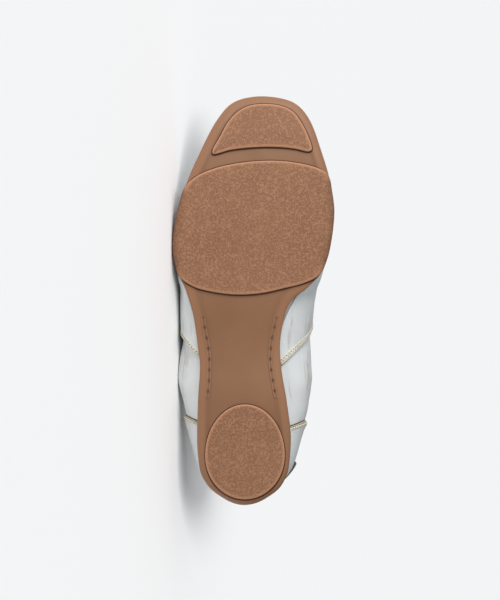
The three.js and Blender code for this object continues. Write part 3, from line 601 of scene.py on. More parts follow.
def leather_material():
    """Silvery white leather: a faint grain, cloudy tone, brushed beige-grey rub marks where the mesh says, and
    painted shade in the corners beside seams."""
    material, shader = new_material("silvery_leather")
    place = object_place(material)
    brushed = noise(material, object_place(material, (48, 560, 560)), 1.0, 5, 0.6)
    fine = noise(material, object_place(material, (900, 1600, 1600)), 1.0, 2)
    clouds = ranged(material, noise(material, place, 35, 4), 0.3, 0.7)
    tone = blended(material, clouds, linear(219, 222, 222), linear(208, 211, 211))
    streaks = ranged(material, brushed, 0.3, 0.66, 0.2, 1.3)
    rub = maths(material, "MULTIPLY", attribute(material, "rub"), streaks)
    speck = ranged(material, maths(material, "ADD", rub, maths(material, "MULTIPLY", fine, 0.35)), 0.25, 1.2)
    tone = blended(material, speck, tone, linear(168, 160, 148))
    # Painted shade beside the seams and under the overlays' edges, as the mesh gives it
    tone = blended(material, maths(material, "MULTIPLY", attribute(material, "painted_seam_shade"), 0.7), tone,
                   linear(134, 122, 103))
    link(material, tone, shader, "Base Color")
    grain = node(material, "ShaderNodeTexVoronoi", {"Vector": place, "Scale": 950}).outputs["Distance"]
    bumped(material, shader, [(grain, 0.12, 0.00012), (noise(material, place, 110, 3), 0.18, 0.0006)])
    link(material, ranged(material, speck, 0, 1, 0.4, 0.62), shader, "Roughness")
    shader.inputs["Metallic"].default_value = 0.12
    shader.inputs["Specular IOR Level"].default_value = 0.5
    shader.inputs["Coat Weight"].default_value = 0.12
    shader.inputs["Coat Roughness"].default_value = 0.35
    return material


def cloth_material(name, colour, darker, weave_scale, strength=0.4, roughness=0.9):
    """Woven cloth: two crossed fine waves for warp and weft, cloudy tone and a soft sheen."""
    material, shader = new_material(name)
    place = object_place(material)
    waves = []
    for direction in ("X", "DIAGONAL"):
        inputs = {"Vector": place, "Scale": weave_scale, "Distortion": 0.6, "Detail": 1.0}
        wave = node(material, "ShaderNodeTexWave", inputs, bands_direction=direction)
        waves.append(wave.outputs["Fac"])
    weave = maths(material, "MULTIPLY", *waves)
    mottled = ranged(material, noise(material, place, 120, 5), 0.3, 0.9)
    tone = blended(material, mottled, colour, darker)
    tone = blended(material, maths(material, "MULTIPLY", weave, 0.4), tone, darker)
    link(material, tone, shader, "Base Color")
    bumped(material, shader, [(weave, strength, 0.0003), (noise(material, place, 700, 3), 0.3, 0.0003)])
    shader.inputs["Roughness"].default_value = roughness
    shader.inputs["Sheen Weight"].default_value = 0.25
    return material


def thread_material(name, colour, darker):
    """Twisted thread or a raw cut edge: fine fibre noise in tone and bump."""
    material, shader = new_material(name)
    place = object_place(material)
    fibre = noise(material, place, 1500, 3)
    tone = blended(material, ranged(material, fibre, 0.35, 0.65), colour, darker)
    link(material, tone, shader, "Base Color")
    bumped(material, shader, [(fibre, 0.5, 0.0002)])
    shader.inputs["Roughness"].default_value = 0.8
    return material


def metal_material():
    """Satin eyelet metal with a fine brushed roughness."""
    material, shader = new_material("satin_metal")
    scratch = noise(material, object_place(material), 1800, 3)
    shader.inputs["Base Color"].default_value = linear(188, 190, 194)
    shader.inputs["Metallic"].default_value = 1.0
    link(material, ranged(material, scratch, 0.3, 0.7, 0.28, 0.45), shader, "Roughness")
    bumped(material, shader, [(scratch, 0.1, 0.0001)])
    return material


RUBBER = rubber_material("smooth_gum_rubber", False)
PEBBLED_RUBBER = rubber_material("pebbled_gum_rubber", True)
LEATHER = leather_material()
LINING = cloth_material("lining_cloth", linear(234, 229, 218), linear(214, 208, 194), 900)
TAB_CLOTH = cloth_material("tab_cloth", linear(112, 104, 92), linear(66, 60, 52), 700, 0.9)
LACE_CLOTH = cloth_material("lace_cloth", linear(244, 242, 236), linear(224, 221, 213), 1300, 0.6)
CREAM_THREAD = thread_material("cream_thread", linear(232, 228, 214), linear(200, 194, 176))
RAW_EDGE = thread_material("raw_leather_edge", linear(190, 176, 154), linear(152, 136, 112))
# A near-black thread used as painted shade: needle holes, the shadowed corner beside a seam and the eyelets'
# holes
PAINTED_SHADE_DARK = thread_material("painted_shade_thread", linear(86, 76, 62), linear(60, 52, 42))
METAL = metal_material()


# Outsole
AROUND = np.arange(720) / 720


def spine_point(around, height):
    """The middle line of the sole, where its rings shrink together: halfway between the two edges."""
    x = SOLE_LENGTH * mix(0.08, 0.92, along_of(around))
    y = (outline_y(around) + outline_y(1 - around)) / 2
    return np.stack([x, y, height(x)], -1)


def edge_ring(inset, height):
    """A ring inside the sole's outline, at a height that follows x."""
    x, y = sole_edge(AROUND, inset)
    return np.stack([x, y, height(x)], -1)


def outsole_base():
    """Rings from the middle of the underside outwards, round a quarter ellipse of edge, up the side with a
    shallow groove under the rim, over the rim and back in to the footbed."""
    rim_top = on_upper(AROUND, rim_row(AROUND), FIT_GAP)
    share_of_rim = rim_share(along_of(AROUND))
    rim_height = mix(-1.6, rim_top[:, 2] - footbed(rim_top[:, 0]), share_of_rim)

    def side_height(share):
        return lambda x: mix(base_bottom(x), footbed(x) + rim_height, share)

    def recess(inset):
        return lambda x: base_bottom(x) + 0.3 * smooth_step(5.6, 7.4, inset)

    rings = [spine_point(AROUND, recess(20))]
    rings += [edge_ring(inset, recess(inset)) for inset in (16, 12, 9, 7.8, 7.2, 6.6, 6.0, 5.4, 4.9)]
    for angle in np.linspace(0, math.pi / 2, 10):
        rise = side_height(0.45 * (1 - math.cos(angle)))
        rings.append(edge_ring(SOLE_EDGE_ROUND * (1 - math.sin(angle)), rise))
    for inset, share in ((0.03, 0.55), (0.1, 0.66), (0.16, 0.7), (0.5, 0.74), (0.2, 0.78), (0.2, 0.85),
                         (0.3, 0.92), (0.55, 0.97), (0.9, 1.0)):
        rings.append(edge_ring(inset, side_height(share)))
    low = edge_ring(FEATHER_INSET - FIT_GAP * 3, lambda x: footbed(x) - FIT_GAP)
    rings.append(mix(low, rim_top, share_of_rim[:, None]))
    rings.append(edge_ring(FEATHER_INSET - FIT_GAP, footbed))
    rings += [edge_ring(SOLE_EDGE_ROUND * 3, footbed), spine_point(AROUND, footbed)]
    points = np.stack(rings, 1)
    rows = points.shape[1]
    # Painted highlight along the rounded edge; painted shade at the recess's step and in the groove under the
    # rim
    edge = np.zeros((len(AROUND), rows))
    edge[:, 9:22] = 0.18 * np.sin(np.linspace(0.3, math.pi - 0.2, 13))
    corner = np.zeros((len(AROUND), rows))
    corner[:, 4:8] = 0.08
    corner[:, 22] = 0.3
    quads = grid_quads(len(AROUND), rows, wrap_columns=True)
    shares = {"edge": [edge], "corner": [corner]}
    return make_piece("outsole_base", [(points, quads, 0)], [RUBBER], shares, ["outsole"], 65)


def running_length(points):
    """The distance run along a line at each of its points."""
    return np.concatenate([[0], np.cumsum(np.linalg.norm(np.diff(points, axis=0), axis=1))])


def closed_spline(points, count):
    """A closed smooth curve through given points, knots spaced by the root of the chord, and count points
    spread evenly along it."""
    points = np.asarray(points, float)
    chord = np.sqrt(np.linalg.norm(np.roll(points, -1, 0) - points, axis=1))
    before = np.roll(chord, 1)
    slope_before = (points - np.roll(points, 1, 0)) / before[:, None]
    slope_after = (np.roll(points, -1, 0) - points) / chord[:, None]
    across = (np.roll(points, -1, 0) - np.roll(points, 1, 0)) / (before + chord)[:, None]
    slopes = slope_before + slope_after - across
    t = np.linspace(0, 1, 40, endpoint=False)[None, :, None]
    start, end = points[:, None], np.roll(points, -1, 0)[:, None]
    leave, arrive = (slopes * chord[:, None])[:, None], (np.roll(slopes, -1, 0) * chord[:, None])[:, None]
    fine = mix(start, end, t * t * (3 - 2 * t)) + t * (1 - t) ** 2 * leave + t * t * (t - 1) * arrive
    fine = fine.reshape(-1, points.shape[1])
    looped = np.vstack([fine, fine[:1]])
    length = running_length(looped)
    at = np.linspace(0, length[-1], count, endpoint=False)
    return np.stack([np.interp(at, length, looped[:, k]) for k in range(points.shape[1])], -1)


def heel_pad_outline():
    """Two half ellipses on one middle, longer towards the toe."""
    angle = np.linspace(0, 2 * math.pi, 240, endpoint=False)
    middle = plan(*HEEL_PAD_MIDDLE)
    reach = np.where(np.cos(angle) > 0, SOLE_LENGTH * 0.1245, SOLE_LENGTH * 0.1065)
    return np.stack([middle[0] + reach * np.cos(angle), middle[1] + HEEL_WIDTH * 0.42 * np.sin(angle)], -1)


def ball_pad_outline():
    """Listed arcs front and rear, joined by the sole's own edge on both sides."""
    def side(alongs, sign):
        return np.stack(sole_edge(around_at(alongs, sign), -BALL_PAD_OVERHANG), -1).tolist()
    rear = [(0.534, -0.36), (0.521, -0.24), (0.514, -0.08), (0.518, 0.08), (0.53, 0.22), (0.542, 0.34)]
    front = [(0.811, 0.485), (0.822, 0.43), (0.831, 0.35), (0.839, 0.22), (0.84, 0.08), (0.834, -0.08),
             (0.822, -0.22), (0.802, -0.34)]
    points = [plan(*place) for place in rear] + side([0.563, 0.6, 0.66, 0.72, 0.77, 0.794], MEDIAL)
    points += [plan(*place) for place in front] + side([0.775, 0.74, 0.69, 0.63, 0.59, 0.56], LATERAL)
    return closed_spline(points, 480)


def toe_pad_outline():
    """Listed points round the toe pad."""
    points = [
        (0.857, -0.235), (0.867, -0.12), (0.873, 0.02), (0.874, 0.15), (0.87, 0.28), (0.863, 0.375),
        (0.868, 0.392), (0.9, 0.37), (0.935, 0.325), (0.962, 0.27), (0.975, 0.2), (0.98, 0.1), (0.976, 0),
        (0.962, -0.075), (0.935, -0.14), (0.9, -0.19), (0.865, -0.238),
    ]
    return closed_spline([plan(*place) for place in points], 320)


def tread_pad(name, outline, middle, sunk_by, wraps=False):
    """Rings round the outline: a foot line darkened with painted shade, widest towards the heel, a steep wall,
    a quarter ellipse of edge with a painted highlight, and the flat tread shrinking to the middle. A pad that
    wraps rolls over the sole's sides: there the ellipse grows, the wall tucks in under it and painted shade
    darkens the rubber outwards by a square."""
    tangent = unit(np.roll(outline, -1, 0) - np.roll(outline, 1, 0))
    inwards = np.stack([-tangent[:, 1], tangent[:, 0]], -1)
    if np.mean(np.sum(inwards * (np.array(middle) - outline), 1)) < 0:
        inwards = -inwards
    side = smooth_step(0.74, 0.93, np.abs(inwards[:, 1])) * wraps
    side = sum(np.roll(side, k) for k in range(-9, 10)) / 19
    foot = mix(0.6, 1.0, smooth_step(0, 0.75, inwards[:, 0])) * (1 - side)
    across, high = mix(PAD_EDGE_ROUND, PAD_SIDE_ROUND, side), mix(PAD_EDGE_ROUND, PAD_HEIGHT - 0.1, side)
    # Each ring: inset, height, share of painted shade and share of painted highlight
    profile = [(mix(-foot, 1.8, side), PAD_HEIGHT + sunk_by + 0 * side, 1, 0),
               (mix(-foot, 1.1, side), PAD_HEIGHT + mix(0.15, 1.0, side), 1, 0),
               (mix(-foot * 0.8, 0.6, side), PAD_HEIGHT + mix(-0.06, 0.6, side), 1, 0),
               (mix(-foot * 0.35, 0.25, side), PAD_HEIGHT + mix(-0.12, 0.3, side), 1, 0),
               (mix(-0.06, 0.06, side), PAD_HEIGHT + mix(-0.3, 0.1, side), 0.85, 0),
               (0 * side, mix(1.35, PAD_HEIGHT, side), 0.25, 0.2)]
    for angle in np.linspace(0, math.pi / 2, 9):
        painted_highlight = 0.35 + 0.65 * math.sin(2 * angle) ** 2
        profile.append((across * (1 - math.cos(angle)), high * (1 - math.sin(angle)), 0, painted_highlight))
    profile += [(across + 0.35, 0 * side, 0, 0.3), (across + 1.0, 0 * side, 0, 0)]
    points, corner, edge = [], [], []
    for inset, height, dark, light in profile:
        points.append(np.column_stack([outline + inwards * inset[:, None], height]))
        # Painted shade on the foot line, the wall and the rolled sides; the painted highlight fades out on the
        # sides
        corner.append(mix(dark, PAD_SIDE_SHADE * (1 - inset / PAD_SHADE_REACH).clip(0, 1) ** 2, side))
        edge.append(light * (1 - side))
    for share in (0.15, 0.4, 0.6, 0.8, 1.0):
        ring = mix(outline + inwards * (across + 1.6)[:, None], np.array(middle), share)
        points.append(np.column_stack([ring, 0 * side]))
        corner.append(0 * side)
        edge.append(0 * side)
    points = np.stack(points, 1)
    points[..., 2] += tread_height(points[..., 0])
    quads = grid_quads(len(outline), points.shape[1], wrap_columns=True)
    shares = {"edge": [np.stack(edge, 1)], "corner": [np.stack(corner, 1)]}
    return make_piece(name, [(points, quads, 0)], [PEBBLED_RUBBER], shares, smooth_angle=75)


# Upper. Seam and counter edge: row up the rib, place along on the lateral and on the medial side
SEAM = np.array([
    [0, 0.35, 0.335], [0.2, 0.402, 0.388], [0.45, 0.433, 0.433], [0.77, 0.483, 0.48], [1, 0.493, 0.493],
])
COUNTER_EDGE = np.array([[0, 0.199, 0.187], [0.45, 0.218, 0.205], [0.8, 0.165, 0.155], [1, 0.12, 0.115]])


def edge_curves(rows):
    """A curve for each side that gives the place along for a row up the rib."""
    return {side: smooth_curve(rows[:, 0], rows[:, column]) for side, column in ((LATERAL, 1), (MEDIAL, 2))}


seam_along, counter_along = edge_curves(SEAM), edge_curves(COUNTER_EDGE)

# Rub marks: side, place along, its half length, place across the flank, its half width, strength. Across is 0
# at the sole's edge, 1 at the widest line of the flank and 2 at the top line.
RUB_MARKS = [
    (MEDIAL, 0.419, 0.046, 0.26, 0.08, 0.7), (MEDIAL, 0.46, 0.03, 0.2, 0.06, 0.35),
    (MEDIAL, 0.441, 0.04, 0.84, 0.16, 0.55), (MEDIAL, 0.286, 0.034, 0.2, 0.06, 0.75),
    (MEDIAL, 0.33, 0.03, 0.2, 0.07, 0.3), (MEDIAL, 0.322, 0.075, 0.88, 0.16, 0.6),
    (MEDIAL, 0.35, 0.05, 0.62, 0.1, 0.25), (MEDIAL, 0.2, 0.03, 0.7, 0.16, 0.35),
    (LATERAL, 0.438, 0.026, 0.7, 0.16, 0.6), (LATERAL, 0.425, 0.042, 0.22, 0.12, 0.5),
    (LATERAL, 0.355, 0.06, 0.78, 0.22, 0.55), (LATERAL, 0.28, 0.06, 0.8, 0.14, 0.35),
    (LATERAL, 0.17, 0.04, 0.6, 0.2, 0.35),
    (LATERAL, 0.62, 0.09, 1.2, 0.16, 0.35), (MEDIAL, 0.6, 0.09, 1.3, 0.16, 0.35),
    (LATERAL, 0.75, 0.07, 1.5, 0.12, 0.3), (MEDIAL, 0.78, 0.08, 1.6, 0.12, 0.3),
    (LATERAL, 0.88, 0.05, 1.0, 0.2, 0.35), (MEDIAL, 0.9, 0.05, 1.1, 0.18, 0.35),
    (LATERAL, 0.33, 0.08, 1.45, 0.14, 0.3), (MEDIAL, 0.32, 0.08, 1.4, 0.14, 0.3),
    (LATERAL, 0.12, 0.05, 1.3, 0.22, 0.3), (MEDIAL, 0.1, 0.05, 1.2, 0.22, 0.3),
    (LATERAL, 0.5, 0.07, 1.55, 0.12, 0.3), (MEDIAL, 0.52, 0.07, 1.5, 0.12, 0.3),
]


def rub_share(around, row):
    """How far the leather is rubbed: for each mark a bell along the shoe times a bell across the flank."""
    along = along_of(around)
    side = side_of(around)
    ribs = upper_point(np.asarray(around, float)[..., None], np.linspace(0, 1, 25))
    width = np.abs(ribs[..., 1])
    widest = np.argmax(width, -1) / 24
    edge_width = np.abs(outline_y(around))
    widest_width = np.max(width, -1)
    here = np.abs(upper_point(around, row)[..., 1])
    low = (here - edge_width) / np.maximum(widest_width - edge_width, 3)
    high = 1 + (row - widest) / np.maximum(1 - widest, 0.1)
    across = np.where(row < widest, np.clip(low, -0.2, 1), high)
    rub = np.zeros(across.shape)
    for mark_side, mark_along, half_length, mark_across, half_width, strength in RUB_MARKS:
        mark = strength * bell(along - mark_along, half_length) * bell(across - mark_across, half_width)
        rub = np.maximum(rub, np.where(side == mark_side, mark, 0))
    return rub


def painted_seam_shade_share(around, row):
    """Painted shade on the quarters just behind the vamp seam and in front of the counter: a bell over the
    distance.
    """
    along = along_of(around)
    painted_seam_shade = np.zeros(np.broadcast(along, row).shape)
    side = side_of(around)
    for one_side in (LATERAL, MEDIAL):
        behind_seam = (seam_along[one_side](row) - along) * SOLE_LENGTH
        before_counter = (along - counter_along[one_side](row)) * SOLE_LENGTH
        near = 0.55 * bell(np.maximum(behind_seam - 0.4, 0), 1.6) * (behind_seam > -2)
        near = np.maximum(near, 0.3 * bell(np.maximum(before_counter - 0.4, 0), 1.4) * (before_counter > -2))
        painted_seam_shade = np.where(side == one_side, near, painted_seam_shade)
    return painted_seam_shade


def upper_shell():
    """The hollow upper: outside rows, a rounded top line, inside rows in lining cloth and a plain foot edge."""
    columns, outside_rows, inside_rows, rim_rows = 960, 56, 20, 5
    around = (np.arange(columns) / columns)[:, None]
    outside_row = np.linspace(0, 1, outside_rows)[None]
    outside = on_upper(around, outside_row, 0.0)
    inside = inside_upper(around, np.linspace(1, 0, inside_rows)[None])
    middle = (outside[:, -1] + inside[:, 0]) / 2
    half = (outside[:, -1] - inside[:, 0]) / 2
    upwards = unit(outside[:, -1] - outside[:, -3]) * np.linalg.norm(half, axis=1)[:, None] * 0.8
    angles = np.linspace(0, math.pi, rim_rows + 2)[1:-1]
    open_here = ~is_sealed(around[:, 0])[:, None]
    rims = [middle + half * math.cos(a) + upwards * math.sin(a) * open_here for a in angles]
    points = np.concatenate([outside, np.stack(rims, 1), inside], 1)
    rows = points.shape[1]
    quads = grid_quads(columns, rows, wrap_columns=True, wrap_rows=True).reshape(columns, rows, 4)
    first_rim, last_rim = outside_rows - 1, outside_rows + rim_rows - 1
    sealed = is_sealed(around[:, 0])
    skipped = sealed & np.roll(sealed, -1)
    keep = np.ones((columns, rows), bool)
    keep[np.ix_(skipped, np.arange(first_rim, last_rim + 1))] = False
    cloth = np.zeros((columns, rows), bool)
    cloth[:, last_rim - 1 : rows - 1] = True
    row_values = np.concatenate([outside_row[0], np.full(rim_rows + inside_rows, 1.0)])[None]
    # rub marks are wear; the seam share is painted shade beside the panels' edges
    rub, painted_seam_shade = rub_share(around + 0 * row_values, row_values + 0 * around), painted_seam_shade_share(around, row_values)
    parts = [(points, quads[keep & ~cloth], 0), (np.zeros((0, 3)), quads[keep & cloth] - columns * rows, 1)]
    shares = {"rub": [rub], "painted_seam_shade": [painted_seam_shade]}
    return make_piece("upper_shell", parts, [LEATHER, LINING], shares, ["upper"])


def border_steps(count, length):
    """Shares from 0 to 1, close together within 1.5 mm of both ends for a rounded border."""
    near = np.array([0, 0.25, 0.6, 1.1]) / length
    return np.concatenate([near, np.linspace(1.8 / length, 1 - 1.8 / length, count), 1 - near[::-1]])


BORDER_PROFILE = np.array([0.35, 0.75, 0.95, 1.0])


def panel(name, around, row, replaced, lift=FIT_GAP, thickness=OVERLAY_THICKNESS, material=None,
          open_top=None):
    """An overlay: outer grid lifted off the upper, its border rounded down, an inner grid below and a wall
    between. Where open_top is true, the two sides meet on the ridge and have no border."""
    columns, rows = around.shape
    ramp = np.concatenate([BORDER_PROFILE, np.ones(columns - 8), BORDER_PROFILE[::-1]])[:, None]
    foot_ramp = np.concatenate([BORDER_PROFILE, np.ones(rows - 4)])[None]
    top_ramp = np.concatenate([np.ones(rows - 4), BORDER_PROFILE[::-1]])[None]
    if open_top is None:
        open_top = np.zeros(columns, bool)
    top_ramp = np.where(open_top[:, None], 1, top_ramp)
    profile = np.minimum(np.minimum(ramp, foot_ramp), top_ramp)
    outer, inner = on_upper(around, row, lift + thickness * profile), on_upper(around, row, lift)
    faces, under = grid_quads(columns, rows), grid_quads(columns, rows)[:, ::-1] + columns * rows
    number = np.arange(columns * rows).reshape(columns, rows)
    walls = []
    closed_top = ~(open_top[:-1] & open_top[1:])
    for line in (number[:, 0], number[:, -1], number[0], number[-1]):
        walls.append(np.stack([line[:-1], line[1:], line[1:] + columns * rows, line[:-1] + columns * rows], -1))
    walls[1] = walls[1][closed_top]
    points = np.concatenate([outer.reshape(-1, 3), inner.reshape(-1, 3)])
    quads = np.concatenate([faces, under, *walls])
    rub = rub_share(around, row)
    # The underside takes painted shade, so the panel's edge wall darkens towards the leather
    shares = {"rub": [rub, rub], "painted_seam_shade": [0 * rub, 0.7 + 0 * rub]}
    return make_piece(name, [(points, quads, 0)], [material or LEATHER], shares, replaced)


def vamp_panel():
    """From the lateral seam round the toe to the medial seam. Its top edge runs along the facings and climbs to
    the ridge at the throat's end."""
    s, t = border_steps(380, 300)[:, None], border_steps(40, 70)[None]

    def place_at(row):
        lateral, medial = (around_at(seam_along[side](row), side) for side in (LATERAL, MEDIAL))
        return mix(lateral, medial, s)

    place = place_at(1.0)
    top = mix(FACING_LOWER_EDGE - 0.01, 1, smooth_step(0.635, 0.69, along_of(place)))
    row = mix(overlay_foot_row(place), top, t)
    return panel("vamp", place_at(row), row, ["vamp_panel"], open_top=is_sealed(place[:, 0]))


def heel_counter():
    """From the medial front edge round the heel to the lateral one, foot to near the top line."""
    s, t = border_steps(150, 110)[:, None], border_steps(44, 60)[None]

    def place_at(row):
        medial, lateral = (around_at(counter_along[side](row), side) for side in (MEDIAL, LATERAL))
        return mix(medial - 1, lateral, s)

    row = mix(overlay_foot_row(place_at(1.0)), 0.97, t)
    return panel("counter", place_at(row), row, ["heel_counter"])


def facing_place(run, rise, side):
    """A place on a facing from millimetres along it and up from its lower edge."""
    around = mix(around_at(FACING_START, side), around_at(FACING_END, side), run / FACING_RUN)
    return around, mix(FACING_LOWER_EDGE, 0.99, rise / FACING_RISE)


def facing(side):
    """The eyestay beside the throat, its two lower corners quarter rounds."""
    s, t = border_steps(90, 55)[:, None], border_steps(22, 17)[None]
    from_end = np.minimum(s, 1 - s) * FACING_RUN
    short = np.clip(1 - from_end / FACING_CORNER, 0, 1)
    low = FACING_CORNER * (1 - np.sqrt(1 - short**2))
    around, row = facing_place(s * FACING_RUN + 0 * t, mix(low, FACING_RISE, t), side)
    name = "lateral" if side == LATERAL else "medial"
    return panel(f"facing_{name}_cover", around, row, [f"facing_{name}"])


def tab_place(share):
    """A place round the heel, from the tab's medial end to its lateral end."""
    return mix(around_at(0.1, MEDIAL) - 1, around_at(0.05, LATERAL), share)


def heel_tab():
    """The dark woven tab round the back of the collar. Its front medial corner stands away from the leather."""
    s, t = border_steps(60, 50)[:, None], border_steps(24, 22)[None]
    around, row = tab_place(s) + 0 * t, mix(0.6, 0.93, t) + 0 * s
    front, low = 1 - smooth_step(0, 0.24, s), 1 - smooth_step(0.6, 0.86, row)
    lift = FIT_GAP * 2 + OVERLAY_THICKNESS + TAB_CORNER_LIFT * front * low
    return panel("tab", around, row, ["heel_tab"], lift, TAB_THICKNESS, TAB_CLOTH)


def line_frame(around, row, lift):
    """Points of a line on the upper with its direction, outward direction and the direction square to both."""
    points = on_upper(around, row, lift)
    along = unit(np.gradient(points, axis=0))
    outwards = upper_normal(around, row)
    across = unit(np.cross(outwards, along))
    return points, along, unit(np.cross(along, across)), across


def even_line(around, row, lift, count):
    """The same line with its points spread evenly over its length."""
    points = on_upper(around, row, lift)
    length = running_length(points)
    at = np.linspace(0, length[-1], count)
    return np.interp(at, length, around), np.interp(at, length, row), length[-1]


def cord_on(around, row, lift, half_width, half_height):
    """A flattened cord along a line on the upper: an ellipse carried along it, closed at both ends."""
    points, along, outwards, across = line_frame(around, row, lift)
    segments = 10
    angle = np.linspace(0, 2 * math.pi, segments, endpoint=False)[None, :, None]
    ring = across[:, None] * np.cos(angle) * half_width + outwards[:, None] * np.sin(angle) * half_height
    ring[[0, -1]] = 0
    return points[:, None] + ring, grid_quads(len(points), segments, wrap_rows=True)


def stitches_on(around, row, lift, length, gap, half_width, half_height, slant=0.0):
    """Stitches along a line: the same small capsule at every step, turned by a slant, as one grid of points."""
    _, _, total = even_line(around, row, lift, 2)
    count = max(2, int(total / (length + gap)))
    places, rows, _ = even_line(around, row, lift, 2 * count + 1)
    points, along, outwards, across = (v[1::2] for v in line_frame(places, rows, lift))
    run = along * math.cos(slant) + across * math.sin(slant)
    side = across * math.cos(slant) - along * math.sin(slant)
    sides = 6
    turn = np.linspace(0, math.pi, sides)[:, None]
    angle = np.linspace(0, 2 * math.pi, sides, endpoint=False)[None]
    end_on = -np.cos(turn) * length / 2 + 0 * angle
    fat = np.sin(turn) ** 0.5
    wide, high = fat * np.cos(angle) * half_width, fat * np.sin(angle) * half_height
    shape = [points[:, None, None]]
    for direction, size in ((run, end_on), (side, wide), (outwards, high)):
        shape.append(direction[:, None, None] * size[None, ..., None])
    grid = sum(shape)
    faces = grid_quads(sides, sides, wrap_rows=True)
    return grid, (faces[None] + (np.arange(len(points)) * sides**2)[:, None, None]).reshape(-1, 4)


def seam_line(alongs, side, first_row, last_row, shift=0.0):
    """A line up the upper at an edge, shifted by millimetres towards the toe."""
    row = np.linspace(first_row, last_row, 160)
    return around_at(alongs[side](row) + shift / SOLE_LENGTH, side), row


def seam_trim(name, alongs, side, last_row, edge_way, band):
    """A panel's stitched front edge: a flat cream tape on the panel, two staggered rows of thread with dark
    capsules of painted shade for needle holes between, the raw cut edge beside it and a dark strip of painted
    shadow in its corner. edge_way is towards toe or heel."""
    foot = 0.02 if name.startswith("vamp") else 0.062
    middle = -edge_way * (band / 2 + 0.1)

    def line(shift, first_row=foot):
        return seam_line(alongs, side, first_row, last_row, shift)

    pieces = [(*cord_on(*line(middle), TOP_OF_VAMP, band / 2, 0.3), 0)]
    for sideways, slant in ((band * 0.25, 0.4), (-band * 0.25, -0.4)):
        pieces.append((*stitches_on(*line(middle + sideways), TOP_OF_VAMP + 0.3, *TAPE_STITCH, slant), 0))
        # Dark capsules of painted shade stand for the needle holes
        holes = line(middle + sideways * 0.9, foot + 0.004 * (slant > 0))
        pieces.append((*stitches_on(*holes, TOP_OF_VAMP + 0.38, *NEEDLE_HOLE), 2))
    pieces.append((*cord_on(*line(edge_way * 0.25), 0.7, 0.5, 0.7), 1))
    # A dark strip of painted shadow in the corner beside the raw edge
    pieces.append((*cord_on(*line(edge_way * 0.85), 0.05, 0.42, 0.12), 2))
    return make_piece(name, pieces, [CREAM_THREAD, RAW_EDGE, PAINTED_SHADE_DARK], smooth_angle=80)


def facing_stitch_path():
    """A U inside the facing's edge: down one end, a quarter round, along the foot, a quarter round and up."""
    inset, radius = 1.9, FACING_CORNER - 1.9
    turn = np.linspace(0, math.pi / 2, 12)
    low = inset + radius
    down = np.stack([np.full(14, inset), np.linspace(FACING_RISE - 1.6, low, 14)])
    first = np.stack([low - radius * np.cos(turn), low - radius * np.sin(turn)])
    foot = np.stack([np.linspace(low, FACING_RUN - low, 40), np.full(40, inset)])
    second = np.stack([FACING_RUN - low + radius * np.sin(turn), low - radius * np.cos(turn)])
    up = np.stack([np.full(14, FACING_RUN - inset), np.linspace(low, FACING_RISE - 1.6, 14)])
    return np.concatenate([down[:, :-1], first[:, :-1], foot[:, :-1], second[:, :-1], up], 1)


def top_stitching():
    """Single stitch rows: round the facings, along the collar, behind the counter's edge and on the tab."""
    pieces = []
    share = np.linspace(0, 1, 120)

    def sew(around, row, lift, stitch):
        pieces.append((*stitches_on(around, row + 0 * around, lift + 0.04, *stitch), 0))

    for side in (LATERAL, MEDIAL):
        sew(*facing_place(*facing_stitch_path(), side), TOP_OF_VAMP, TOP_STITCH)
        sew(facing_place(mix(0.05, 0.95, share) * FACING_RUN, 0, side)[0], 0.968, TOP_OF_VAMP, TOP_STITCH)
        sew(around_at(mix(0.13, FACING_START - 0.01, share), side), 0.93, 0.0, TOP_STITCH)
        sew(*seam_line(counter_along, side, 0.1, 0.95, -3.4), TOP_OF_VAMP, COUNTER_STITCH)
    for row in (0.625, 0.905):
        sew(tab_place(mix(0.04, 0.96, share)), row, 2 * TOP_OF_VAMP + 0.06, TAB_STITCH)
    return make_piece("top_stitching", pieces, [CREAM_THREAD], smooth_angle=80)


def end_caps(columns, rows):
    """Faces that close both ends of a grid whose rows wrap: each point is joined to the one that mirrors it."""
    number = np.arange(columns * rows).reshape(columns, rows)
    half = rows // 2
    return [np.stack([end[: half - 1], end[1:half], end[::-1][1:half], end[::-1][: half - 1]], -1)
            for end in (number[0], number[-1])]


